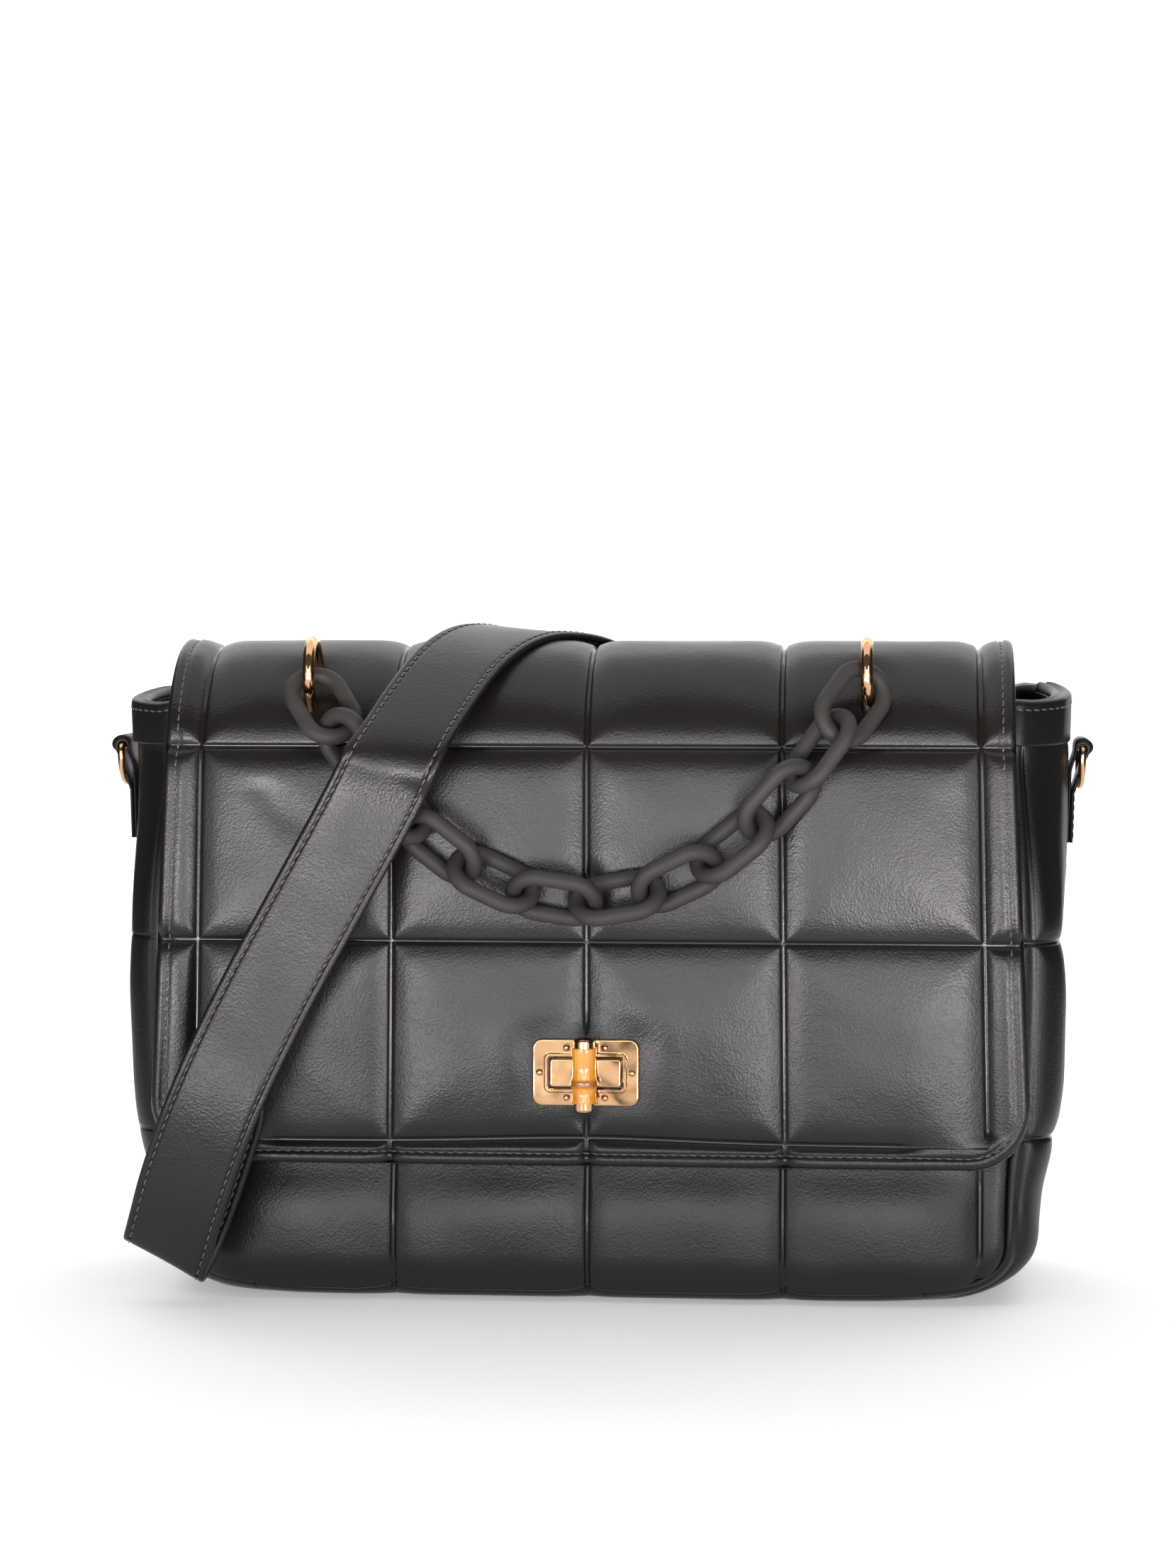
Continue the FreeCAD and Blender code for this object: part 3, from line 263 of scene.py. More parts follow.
def closedShell(outer, inner, keep=None):
    # an outer and an inner grid joined along every free edge, holes too, facing outwards
    rows, cols = outer.shape[:2]
    quads = gridQuads(rows, cols)
    if keep is not None:
        quads = quads[keep.ravel()]
    mid = quads[len(quads) // 2]
    flat = outer.reshape(-1, 3)
    facing = np.cross(flat[mid[1]] - flat[mid[0]], flat[mid[3]] - flat[mid[0]])
    if facing @ (flat[mid[0]] - inner.reshape(-1, 3)[mid[0]]) < 0:
        quads = quads[:, ::-1]
    edges = np.concatenate([quads[:, [i, (i + 1) % 4]] for i in range(4)])
    low, high = edges.min(1), edges.max(1)
    index, count = np.unique(low * rows * cols + high, return_index=True, return_counts=True)[1:]
    free = edges[index[count == 1]]
    shift = rows * cols
    walls = np.stack([free[:, 1], free[:, 0], free[:, 0] + shift, free[:, 1] + shift], -1)
    points = np.concatenate([flat, inner.reshape(-1, 3)])
    faces = np.concatenate([quads, quads[:, ::-1] + shift, walls])
    used = np.unique(faces)
    renumber = np.zeros(len(points), int)
    renumber[used] = np.arange(len(used))
    return points[used], renumber[faces], used


def shellMark(pressed, used):
    # a closed shell's marks: those of the outer grid, and none on the inner one
    return np.concatenate([pressed.ravel(), np.zeros(pressed.size)])[used]


def tubeFaces(rows, cols):
    # the quads of a section carried along a path, and a face that closes each end
    ends = [list(range(cols))[::-1], list(range((rows - 1) * cols, rows * cols))]
    return gridQuads(rows, cols, wrapCols=True).tolist() + ends


def normalsOf(grid):
    # unit normals of a grid of points, from the cross of its two directions
    across = np.gradient(grid, axis=1)
    along = np.gradient(grid, axis=0)
    normal = np.cross(across, along)
    return normal / (np.linalg.norm(normal, axis=-1, keepdims=True) + 1e-12)


def stops(low, high, lines, step):
    # sample places from low to high, crowded beside each quilting line
    beside = np.array([0.0, 0.45, 0.8, 1.05, 1.4, 1.9, 2.6, 3.5, 4.8, 6.4, 8.6])
    beside = np.concatenate([-beside[:0:-1], beside])
    even = np.linspace(low, high, int(np.ceil((high - low) / step)) + 1)
    lines = np.asarray(lines, float)
    clear = np.abs(even[:, None] - lines[None, :]).min(1) > 9.8 if len(lines) else np.ones(len(even), bool)
    places = np.concatenate([even[clear], (lines[:, None] + beside).ravel(), [low, high]])
    places = np.unique(np.round(places[(places >= low) & (places <= high)], 3))
    far = np.diff(places, prepend=low - 1) > 0.2
    far[-1] = True
    return places[far]


def thinned(values, least=0.1):
    # sorted places with those too close to the one before left out
    values = np.unique(values)
    return values[np.diff(values, prepend=values[0] - 1) > least]


def ramp(value, start, end):
    # 0 at start and 1 at end, straight between them and level beyond
    return np.clip((value - start) / (end - start), 0, 1)


def ease(share):
    # softens a ramp at both of its ends: 3 t^2 - 2 t^3
    return share * share * (3 - 2 * share)


def pressTo(lift, depth, share):
    # pulls a height towards a flat depth, all the way where share is 1
    return lift * (1 - share) + depth * share


def nearest(values, lines):
    # distance to the nearest of some lines
    return np.abs(values[..., None] - np.asarray(lines, float)).min(-1)


quilt = {"floor": 0.65, "wall": 0.3, "facet": 5.5, "dome": 34.0, "shares": (0.23, 0.26, 0.51)}


def pillow(away):
    # height share of stuffed leather at a distance from a channel: a flat floor, a crisp wall, a sloping facet, a dome
    rise = np.maximum(away - quilt["floor"], 0)
    slope = rise / quilt["facet"]
    wall = 1 - np.exp(-rise / quilt["wall"])
    facet = slope / (1 + slope ** 6) ** (1 / 6)
    dome = 1 - (1 - np.minimum(rise / quilt["dome"], 1)) ** 2
    return quilt["shares"][0] * wall + quilt["shares"][1] * facet + quilt["shares"][2] * dome


def channelMark(away):
    # 1 on a channel's floor, fading to 0 about 1.2 mm from its middle line
    return np.clip(1.3 - away / 0.9, 0, 1)


def mitre(a, b):
    # one distance from two, mitred at their corner: (a^-9 + b^-9)^(-1/9)
    return (np.maximum(a, 1e-3) ** -9 + np.maximum(b, 1e-3) ** -9) ** (-1 / 9)


def handWaves(x, z, phase):
    # slow unevenness of hand-stuffed leather, a sum of three crossed waves, about 1 high at most
    return (0.45 * np.sin(x / 13.0 + 1.7 * np.sin(z / 29.0 + phase) + phase)
            + 0.35 * np.sin(z / 11.0 + 1.3 * np.sin(x / 23.0 - phase))
            + 0.20 * np.sin((x + z) / 6.5 + 2.1 * phase))


def puckers(columnAway, rowAway, x, z):
    # short wrinkles that run out from the sewn channels and fade: exp(-d / 9) sin(along / 1.9)
    beside = np.exp(-columnAway / 9) * np.sin(z / 1.9 + 2.2 * np.sin(z / 8.3 + x / 40) + x / 9)
    above = np.exp(-rowAway / 9) * np.sin(x / 2.1 + 2.4 * np.sin(x / 9.7 + z / 37) + z / 8)
    return beside + above


def roundedEdge(inside, radius):
    # drop of a rounded edge: nothing further in than the radius, the full radius at the edge
    t = np.clip(radius - inside, 0, radius)
    return radius - np.sqrt(radius * radius - t * t)


def stitchRow(name, path, normal, look):
    # stitches along a path in mm: each a small lozenge, C + T sin(a) length/2 + (N cos(b) + B sin(b)) cos(a) width/2
    step = np.linalg.norm(np.diff(path, axis=0), axis=1)
    run = np.concatenate([[0], np.cumsum(step)])
    count = max(int(run[-1] / look["pitch"]), 1)
    at = (np.arange(count) + 0.5) * run[-1] / count
    centre = np.stack([np.interp(at, run, path[:, k]) for k in range(3)], -1)
    ahead = np.stack([np.interp(at + 0.5, run, path[:, k]) for k in range(3)], -1)
    behind = np.stack([np.interp(at - 0.5, run, path[:, k]) for k in range(3)], -1)
    up = np.stack([np.interp(at, run, normal[:, k]) for k in range(3)], -1)
    along = ahead - behind
    along /= np.linalg.norm(along, axis=1, keepdims=True)
    up -= along * (up * along).sum(1, keepdims=True)
    up /= np.linalg.norm(up, axis=1, keepdims=True)
    side = np.cross(along, up)
    lean = 0.10    # each stitch lies a little across its row
    along, side = along * math.cos(lean) + side * math.sin(lean), side * math.cos(lean) - along * math.sin(lean)
    a = np.radians([-52.0, 0.0, 52.0])
    b = np.radians(np.arange(6) * 60.0)
    ringPart = (centre[:, None, None] + along[:, None, None] * (np.sin(a) * look["long"] / 2)[None, :, None, None]
                + (up[:, None, None] * np.cos(b)[None, None, :, None]
                   + side[:, None, None] * np.sin(b)[None, None, :, None])
                * (np.sqrt(np.cos(a)) * look["wide"] / 2)[None, :, None, None])
    tips = centre[:, None] + along[:, None] * (np.array([-0.5, 0.5]) * look["long"])[None, :, None]
    points = np.concatenate([ringPart.reshape(count, 18, 3), tips], 1)
    body = gridQuads(3, 6, wrapCols=True)[:, ::-1]
    k = np.arange(6)
    fans = np.concatenate([np.stack([np.full(6, 18), (k + 1) % 6, k], -1)[:, ::-1],
                           np.stack([np.full(6, 19), 12 + k, 12 + (k + 1) % 6], -1)[:, ::-1]])
    shift = (np.arange(count) * 20)[:, None, None]
    faces = (body[None] + shift).reshape(-1, 4).tolist() + (fans[None] + shift).reshape(-1, 3).tolist()
    return addPiece(name, points.reshape(-1, 3), faces, paintedGlintThread)


flap = {
    "bottom": 51.0, "shoulderY": -12.0, "shoulderZ": 193.0, "shoulderR": 50.0, "rearZ": 168.0,
    "rearR": 75.0, "rearTurn": 0.75160, "tailR": 12.0, "tailTurn": 0.7510, "tailLong": 24.0,
    "halfTop": 156.0, "halfBottom": 163.0, "taperTop": 205.5, "corner": 23.0, "thick": 5.0, "tailThick": 1.6,
    "columns": [-144, -72, 0, 72, 145], "coreHalf": 148.0, "relief": 2.7, "crown": 0.5, "edge": 2.5, "border": 0.86,
    "topFill": 1.3, "splay": 0.00015, "splayFrom": 133.5, "splayTop": 215.0, "bow": 2.0, "bowWide": 50.0,
    "bowReach": 40.0, "archX": 102.0, "archRun": 181.3, "stitchIn": 4.6,
    "stitch": {"pitch": 3.6, "long": 2.7, "wide": 0.75}}
frontRun = flap["shoulderZ"] - flap["bottom"]
crownRun = frontRun + flap["shoulderR"] * math.pi / 2
hingeRun = crownRun + flap["rearR"] * flap["rearTurn"]
tailRun = hingeRun + flap["tailR"] * flap["tailTurn"]
flapRun = tailRun + flap["tailLong"]
flapRows = [10.5, 82.5, frontRun + flap["shoulderR"] * math.asin(12.5 / flap["shoulderR"]), crownRun + 6.0]


def flapSection(run):
    # the flap's outside seen from the side: a front line, a shoulder arc, a rear arc, a turn and a tail on the back
    a = np.clip((run - frontRun) / flap["shoulderR"], 0, math.pi / 2)
    b = np.clip((run - crownRun) / flap["rearR"], 0, flap["rearTurn"])
    c = np.clip((run - hingeRun) / flap["tailR"], 0, flap["tailTurn"])
    t = np.maximum(run - tailRun, 0)
    y = np.where(run < crownRun, flap["shoulderY"] - flap["shoulderR"] * np.cos(a),
                 flap["shoulderY"] + flap["rearR"] * np.sin(b))
    z = np.where(run < crownRun, flap["shoulderZ"] + flap["shoulderR"] * np.sin(a),
                 flap["rearZ"] + flap["rearR"] * np.cos(b))
    z = np.where(run < frontRun, flap["bottom"] + run, z)
    turn = flap["rearTurn"]
    y = y + flap["tailR"] * (np.sin(turn + c) - math.sin(turn)) * (run > hingeRun)
    z = z + flap["tailR"] * (np.cos(turn + c) - math.cos(turn)) * (run > hingeRun)
    last = turn + flap["tailTurn"]
    y = y + t * math.cos(last)
    z = z - t * math.sin(last)
    angle = np.where(run < crownRun, a - math.pi / 2, b + c)
    return y, z, np.sin(angle), np.cos(angle)


def flapHalf(run):
    # half width at a height on the flap, with the rounded lower corners taken off
    z = np.minimum(flap["bottom"] + run, flap["taperTop"])
    half = flap["halfBottom"] + (flap["halfTop"] - flap["halfBottom"]) * (z - flap["bottom"]) / (
        flap["taperTop"] - flap["bottom"])
    return half - roundedEdge(run, flap["corner"])


def flapInside(x, run):
    # distance in from the flap's side and bottom edges
    corner = flap["corner"]
    half = flapHalf(np.maximum(run, corner))
    u = np.abs(x) - (half - corner)
    v = corner - run
    inCorner = (u > 0) & (v > 0)
    return np.where(inCorner, corner - np.hypot(u, v), np.minimum(half - np.abs(x), run))


def lockAway(x, z):
    # distance from the lock plate's outline, negative inside it
    corner = lock["plateCorner"]
    u = np.abs(x) - lock["plateW"] / 2 + corner
    v = np.abs(z - lock["z"]) - lock["plateH"] / 2 + corner
    return np.hypot(np.maximum(u, 0), np.maximum(v, 0)) + np.minimum(np.maximum(u, v), 0) - corner


def flapPoint(x, run, lift):
    # a point over the flap's section, lifted along its normal
    y, z, ny, nz = flapSection(run)
    return np.stack([x, y + ny * lift, z + nz * lift], -1)


def flapSplay(run):
    # the columns' spread at a height: more towards the bottom
    return 1 + flap["splay"] * (flap["splayFrom"] - np.minimum(flap["bottom"] + run, flap["splayTop"]))


def flapBow(across):
    # how far the lowest row hangs below its middle
    return flap["bow"] * (1 - np.exp(-(across / flap["bowWide"]) ** 2))


def flapCut(across, along):
    # place on the flap from a place on the quilting plan: columns splay towards the bottom and the lowest row bows
    low = flapRows[0]
    bow = flapBow(across)
    above = along - bow * ramp(along, low + flap["bowReach"], low)
    run = np.where(along < low, along * (low - bow) / low, above)
    return across * flapSplay(run), run


def flapPlan(x, run):
    # the way back, from a place on the flap to a place on the quilting plan
    across = x / flapSplay(run)
    low = flapRows[0]
    bow, reach = flapBow(across), flap["bowReach"]
    above = np.where(run < low + reach, low + (run - low + bow) * reach / (reach + bow), run)
    return across, np.where(run < low - bow, run * low / (low - bow), above)


def flapLift(x, run):
    # outer height over the CAD face: quilting channels, the pressed stitch line, the lock's dent and a soft fold
    inside = flapInside(x, run)
    z = flap["bottom"] + run
    across, along = flapPlan(x, run)
    # the channels fade out in the rounded lower corners, where they count as this much further away
    faded = 14.0 * ramp(np.abs(x), 116, 140)
    rowAway = nearest(along, flapRows) + faded * ramp(along, 26, 18)
    columnAway = nearest(across, flap["columns"]) + faded * ramp(along, 15, 6)
    away = mitre(columnAway, rowAway)
    onBorder = (across < flap["columns"][0]) | (across > flap["columns"][-1]) | (along < flapRows[0])
    stitch = np.exp(-((inside - flap["stitchIn"]) / 0.8) ** 2)
    share = pillow(away)
    strip = flap["border"] * (1 - np.exp(-np.maximum(away - quilt["floor"], 0) / 3.2)) - 0.20 * stitch
    share = np.where(onBorder, strip, share)
    plate = lockAway(x, z)
    onFront = run < frontRun
    dent = np.where(onFront, np.exp(-np.maximum(plate, 0) ** 2 / 14.0), 0)
    ring = np.where(onFront, np.exp(-((plate - 11.0) / 7.0) ** 2), 0)
    archAway = np.hypot(np.abs(x) - flap["archX"], run - flap["archRun"])
    dent = np.maximum(dent, np.exp(-np.maximum(archAway - 7.0, 0) ** 2 / 16.0))
    onTop = np.exp(-((run - crownRun + 8.0) / 30.0) ** 2)
    fold = ((x + 117.5) * 0.753 + (z - 187.5) * 0.658) / 5.0
    reach = ((x + 117.5) * 0.658 - (z - 187.5) * 0.753) / 17.0
    wrinkle = np.exp(-fold ** 2 - reach ** 4) * onFront
    lift = flap["crown"] - (flap["relief"] + flap["crown"]) * (1 - share) + flap["topFill"] * onTop * share
    lift = pressTo(lift, -0.2, dent) + 0.5 * ring * share - 0.9 * wrinkle * share
    lift = lift + 0.22 * handWaves(x, z + 0.6 * run, 0.4) * share * (1 - dent)
    lift = lift + 0.06 * puckers(columnAway, rowAway, x, run) * share * (1 - dent)
    onTail = ramp(run, hingeRun - 8, hingeRun + 6)
    lift = pressTo(lift, -0.15, onTail)
    lift = lift - roundedEdge(inside, flap["edge"]) * (1 - onTail) - 0.5 * roundedEdge(inside, 1.2) * onTail
    return lift, channelMark(away) * (1 - onTail), onTail


def clearOfWindow(x, run, margin):
    # the quads of a grid on the flap that keep clear of the lock's window
    xm = (x[:-1, :-1] + x[1:, 1:]) / 2
    zm = flap["bottom"] + (run[:-1, :-1] + run[1:, 1:]) / 2
    return ~((np.abs(xm) < lock["windowW"] / 2 + margin) & (np.abs(zm - lock["z"]) < lock["windowH"] / 2))


def makeFlap():
    # the quilted flap: a grid of heights on its section, closed behind, with its stitches and the cloth under it
    core = stops(-flap["coreHalf"], flap["coreHalf"], flap["columns"], 2.6)
    windowRuns = lock["z"] - flap["bottom"] + np.array([-0.5, 0.5]) * lock["windowH"]
    border = np.array([0.12, 0.25, 0.38, 0.5, 0.6, 0.68, 0.75, 0.81, 0.86, 0.9, 0.935, 0.965, 0.985, 1.0])
    run = stops(0, flapRun, flapRows, 2.6)
    run = thinned(np.concatenate([run, [0.15, 0.5, 1.0, 1.7, 2.5, 3.2, 3.9, 4.4, 4.8, 5.4, 6.2, 7.2, 8.4], windowRuns]))
    core = thinned(np.concatenate([core, np.array([-0.5, 0.5]) * lock["windowW"]]))
    run = np.broadcast_to(run[:, None], (len(run), len(core)))
    x, r = flapCut(np.broadcast_to(core, run.shape), run)
    last = r[:, -1:]
    half = flapHalf(last)
    # beside the rounded lower corners the columns outside this one close up, and stay 4 mm from the edge
    still = 110.0
    tight = np.minimum((half - 4 - still) / (x[:, -1:] - still), 1)
    x = np.where(np.abs(x) > still, np.sign(x) * (still + (np.abs(x) - still) * tight), x)
    right = x[:, -1:] + border[None, :] * (half - x[:, -1:])
    x = np.concatenate([-right[:, ::-1], x, right], 1)
    r = np.concatenate([np.repeat(last, len(border), 1), r, np.repeat(last, len(border), 1)], 1)
    lift, pressed, onTail = flapLift(x, r)
    inside = flapInside(x, r)
    thick = flap["thick"] + (flap["tailThick"] - flap["thick"]) * onTail
    outer = flapPoint(x, r, lift)
    inner = flapPoint(x, r, -thick + roundedEdge(inside, flap["edge"]) * (1 - onTail))
    points, faces, used = closedShell(outer, inner, clearOfWindow(x, r, 0))
    shell = addPiece("flapQuilt", points, faces, quiltLeather, shellMark(pressed, used))
    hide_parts("flap_panel")
    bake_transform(shell)
    # border stitches: up the left side, round the lower corners and up the right side
    inset = flap["stitchIn"]
    side = np.linspace(hingeRun - 6, flap["corner"], 160)
    turn = np.linspace(0, math.pi / 2, 14)[1:]
    corner = flap["corner"] - inset
    xs = np.concatenate([-(flapHalf(side) - inset), -(flap["halfBottom"] - flap["corner"] + corner * np.cos(turn))])
    rs = np.concatenate([side, flap["corner"] - corner * np.sin(turn)])
    bottom = np.linspace(-(flap["halfBottom"] - flap["corner"]), flap["halfBottom"] - flap["corner"], 120)[1:-1]
    xs = np.concatenate([xs, bottom, -xs[::-1]])
    rs = np.concatenate([rs, np.full(len(bottom), inset), rs[::-1]])
    lifted = flapLift(xs, rs)[0] + 0.15
    ny, nz = flapSection(rs)[2:]
    row = stitchRow("flapStitches", flapPoint(xs, rs, lifted), np.stack([0 * xs, ny, nz], -1), flap["stitch"])
    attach(row, "flap")
    # two rows that sew the flap's tail to the back
    for number, back in enumerate((4.0, 19.0)):
        xs = np.linspace(-flap["coreHalf"], flap["coreHalf"], 150)
        rs = np.full(len(xs), flapRun - back)
        ny, nz = flapSection(rs)[2:]
        row = stitchRow("tailStitches%d" % (number + 1), flapPoint(xs, rs, 0 * xs), np.stack([0 * xs, ny, nz], -1),
                        flap["stitch"])
        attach(row, "bag")
    # cloth under the flap, ending short of the fold
    run = np.linspace(2.2, crownRun + flap["rearR"] * flap["rearTurn"] * 0.84, 110)
    run = np.unique(np.concatenate([run, windowRuns]))
    x = np.linspace(-1, 1, 121)[None, :] * (flapHalf(run)[:, None] - 2.2)
    r = np.broadcast_to(run[:, None], x.shape)
    wave = 0.10 * handWaves(x, r, 2.0)
    under, over = flapPoint(x, r, wave - 6.15), flapPoint(x, r, 0 * r - 5.1)
    points, faces = closedShell(under, over, clearOfWindow(x, r, 1))[:2]
    cloth = addPiece("flapLiningCloth", points, faces, liningCloth)
    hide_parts("flap_lining")
    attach(cloth, "flap")


makeFlap()
print("flap made")

bag = {"rim": 222.0, "halfBase": 172.0, "halfRim": 178.0, "deepBase": 58.0, "deepRim": 40.0, "corner": 40.0,
       "edge": 16.0, "cornerX": 133.07, "lean": math.atan(6.0 / 222.0), "seamBase": 154.0, "seamRim": 158.0,
       "seamFloor": 6.0, "seamCorner": 15.0, "seamRound": 1.4, "seamShare": 1.2, "baseSeam": 124.0, "endRound": 0.6,
       "wall": 6.0, "columns": [-144, -72, 0, 72, 144], "coreHalf": 146.0, "rows": [205.5, 133.5, 61.5], "relief": 2.6,
       "crown": 1.0, "backTop": 218.0, "rimPress": (203.0, 206.0), "phase": {"front": 0.9, "back": 2.4},
       "sideLine": 7.0, "sideRelief": 2.0, "bulge": {"left": -1.4, "right": 1.0}}
# how the stuffed bag sags, in mm: the most that each part moves; belly is the half depth that the front fills out to
sag = {"cornerLift": 2.5, "edgeDrop": 2.2, "swell": 4.0, "belly": 54.9, "rimDraw": 9.0, "footDraw": 6.5,
       "earFront": {"left": -2.6, "right": -1.0}, "earBack": {"left": 2.6, "right": 5.0}}


def settle(points):
    # how the soft bag sits: each part is moved by its size in sag times smooth ramps over the bag's own places
    x, y, z = np.moveaxis(np.asarray(points, float), -1, 0)
    wide, deep = np.abs(x), np.abs(y)
    # the lower corners lift off the floor, and the lower front drops at its edge, swells and turns under
    lift = sag["cornerLift"] * ramp(wide, 85, 160) ** 2 * ramp(deep, 18, 54) * ramp(z, 70, 0) ** 2
    middle = ease(ramp(wide, 156, 106) * ramp(y, -22, -42))
    lift = lift - sag["edgeDrop"] * middle * np.exp(-((z - 5) / 3.6) ** 2)
    swell = sag["swell"] * middle * ease(ramp(z, 75, 30)) * (1 - 0.5 * ramp(z, 32, 0) ** 1.5)
    # the stuffed front fills the room under the flap, but for a dent round the lock's base
    belly = np.maximum(sag["belly"] - bagDeep(z), 0) * ease(ramp(z, 205, 145)) * ease(ramp(y, -8, -34))
    swell = np.maximum(swell, belly * (1 - np.exp(-(np.maximum(lockAway(x, z), 0) / 15) ** 2)))
    # the sides are drawn in at the rim's ears and near the foot, and the ears tilt
    draw = sag["rimDraw"] * ease(ramp(wide, 148, 176) * ramp(z, 110, 200)) * ramp(deep, 0, 40) ** 2
    draw = draw + sag["footDraw"] * ramp(wide, 152, 172) * np.exp(-((z - 36) / 20) ** 2)
    ear = ramp(wide, 120, 170) ** 2 * ramp(z, 185, 222) ** 2
    front = np.where(x > 0, sag["earFront"]["right"], sag["earFront"]["left"])
    back = np.where(x > 0, sag["earBack"]["right"], sag["earBack"]["left"])
    lift = lift + ear * (front + ramp(y, -38, 38) * (back - front))
    return np.stack([x - np.sign(x) * draw, y - swell, z + lift], -1)


def bagHalf(z):
    # half width of the bag at a height
    return bag["halfBase"] + (bag["halfRim"] - bag["halfBase"]) * z / bag["rim"]


def bagDeep(z):
    # half depth of the bag at a height
    return bag["deepBase"] + (bag["deepRim"] - bag["deepBase"]) * z / bag["rim"]


def seamHalf(z):
    # half width between the side seams of the front and back panels at a height
    return bag["seamBase"] + (bag["seamRim"] - bag["seamBase"]) * z / bag["rim"]


def seamInside(x, z):
    # distance in from the front and back seams, seen from the front
    full = seamHalf(z)
    u = np.abs(x) - (full - bag["seamCorner"])
    v = bag["seamFloor"] + bag["seamCorner"] - z
    corner = bag["seamCorner"] - np.hypot(np.maximum(u, 0), np.maximum(v, 0))
    return np.where((u > 0) & (v > 0), corner, np.minimum(full - np.abs(x), z - bag["seamFloor"]))


def panelFace(x, z):
    # distance from the bag's middle plane to its front face: a leaning plane with a rolled edge
    u = np.abs(x) - bag["cornerX"]
    v = bag["corner"] - z
    corner = bag["corner"] - np.hypot(np.maximum(u, 0), np.maximum(v, 0))
    inset = np.where((u > 0) & (v > 0), corner, np.minimum(bagHalf(z) - np.abs(x), z))
    return bagDeep(z) - roundedEdge(np.maximum(inset, 0), bag["edge"])


def panelRows(sign):
    # the level lines of a panel: all of them behind, and in front only the one under the rim
    return bag["rows"] if sign > 0 else bag["rows"][:1]


def panelLift(x, h, full, inside, sign):
    # height of a quilted panel over the bag's face; its lower edge rolls under with no visible seam
    lines = mitre(nearest(x, bag["columns"]), nearest(h, panelRows(sign)))
    under = ramp(full - np.abs(x), 0, 30) * ramp(h - bag["seamFloor"], 30, 0)
    share = pillow(mitre(lines, inside + bag["seamShare"] + 12 * under))
    proud = bag["crown"] * (1 if sign > 0 else 1 - 0.9 * ramp(h, 38, 48))
    wave = handWaves(x, h, bag["phase"]["back" if sign > 0 else "front"])
    lift = -bag["relief"] * (1 - share) + proud * share + 0.28 * wave * share
    return lift, lines, under


def makePanel(name, node, sign, top):
    # a quilted panel, sign -1 in front and 1 behind: a grid of heights on the bag's face, closed behind
    core = stops(-bag["coreHalf"], bag["coreHalf"], bag["columns"], 3.0)
    border = np.array([0.2, 0.4, 0.56, 0.7, 0.8, 0.88, 0.94, 0.98, 1.0])
    z = stops(bag["seamFloor"], top, panelRows(sign), 3.0)
    z = thinned(np.concatenate([z, bag["seamFloor"] + np.array([0.15, 0.45, 0.95, 1.6, 2.4, 3.3, 4.5])]))
    # below the rounded lower corner the whole row narrows together
    full = seamHalf(z)[:, None]
    half = full - roundedEdge(z[:, None] - bag["seamFloor"], bag["seamCorner"])
    right = bag["coreHalf"] + border[None, :] * (full - bag["coreHalf"])
    x = np.concatenate([-right[:, ::-1], np.broadcast_to(core, (len(z), len(core))), right], 1)
    x = x * np.minimum(half / full, 1)
    h = np.broadcast_to(z[:, None], x.shape)
    inside = np.maximum(seamInside(x, h), 0)
    lift, lines, under = panelLift(x, h, full, inside, sign)
    lift = pressTo(lift, -0.5, ramp(h, *bag["rimPress"]))
    if sign < 0:    # flat under the lock's base
        lift = pressTo(lift, -0.1, np.exp(-np.maximum(lockAway(x, h) + 4, 0) ** 2 / 30.0))
    seam = bag["seamRound"] - 1.25 * under    # the side seams are pulled in
    lift = lift - roundedEdge(inside, seam)
    grid = np.stack([x, sign * panelFace(x, h), h], -1)
    normal = normalsOf(grid)
    normal *= np.sign((normal[..., 1:2] * sign).mean())
    outer = grid + normal * lift[..., None]
    inner = grid - normal * (bag["wall"] - roundedEdge(inside, seam))[..., None]
    points, faces, used = closedShell(settle(outer), settle(inner))
    panel = addPiece(name, points, faces, quiltLeather, shellMark(channelMark(lines), used))
    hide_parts(node)
    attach(panel, "bag")


makePanel("frontQuilt", "front_panel", -1, bag["rim"] - 0.5)
makePanel("backQuilt", "back_panel", 1, bag["backTop"])
print("front and back made")


def outlineAt(s):
    # the bag's outline seen from the front, from the middle of the base to the right rim: point and inward normal
    turn = math.pi / 2 - bag["lean"]
    flat = bag["cornerX"]
    a = np.clip((s - flat) / bag["corner"], 0, turn)
    up = np.maximum(s - flat - bag["corner"] * turn, 0)
    x = np.minimum(s, flat) + bag["corner"] * np.sin(a) + up * math.sin(bag["lean"])
    z = bag["corner"] * (1 - np.cos(a)) + up * math.cos(bag["lean"])
    return x, z, -np.sin(a), np.cos(a)


def seamInset(x, z, nx, nz):
    # how far in from the outline the front and back seams lie, found by halving a range of 24 mm forty times
    low, high = 0 * x, 0 * x + 24
    for halving in range(40):
        middle = (low + high) / 2
        outside = seamInside(x + nx * middle, z + nz * middle) < 0
        low, high = np.where(outside, middle, low), np.where(outside, high, middle)
    return high


# length of the outline from the middle of the base to the rim
sideRun = bag["cornerX"] + bag["corner"] * (math.pi / 2 - bag["lean"]) + (
    bag["rim"] - bag["corner"] * (1 - math.sin(bag["lean"]))) / math.cos(bag["lean"])


def outlineLevel(z):
    # distance along the outline to a height on the side
    return sideRun - (bag["rim"] - z) / math.cos(bag["lean"])


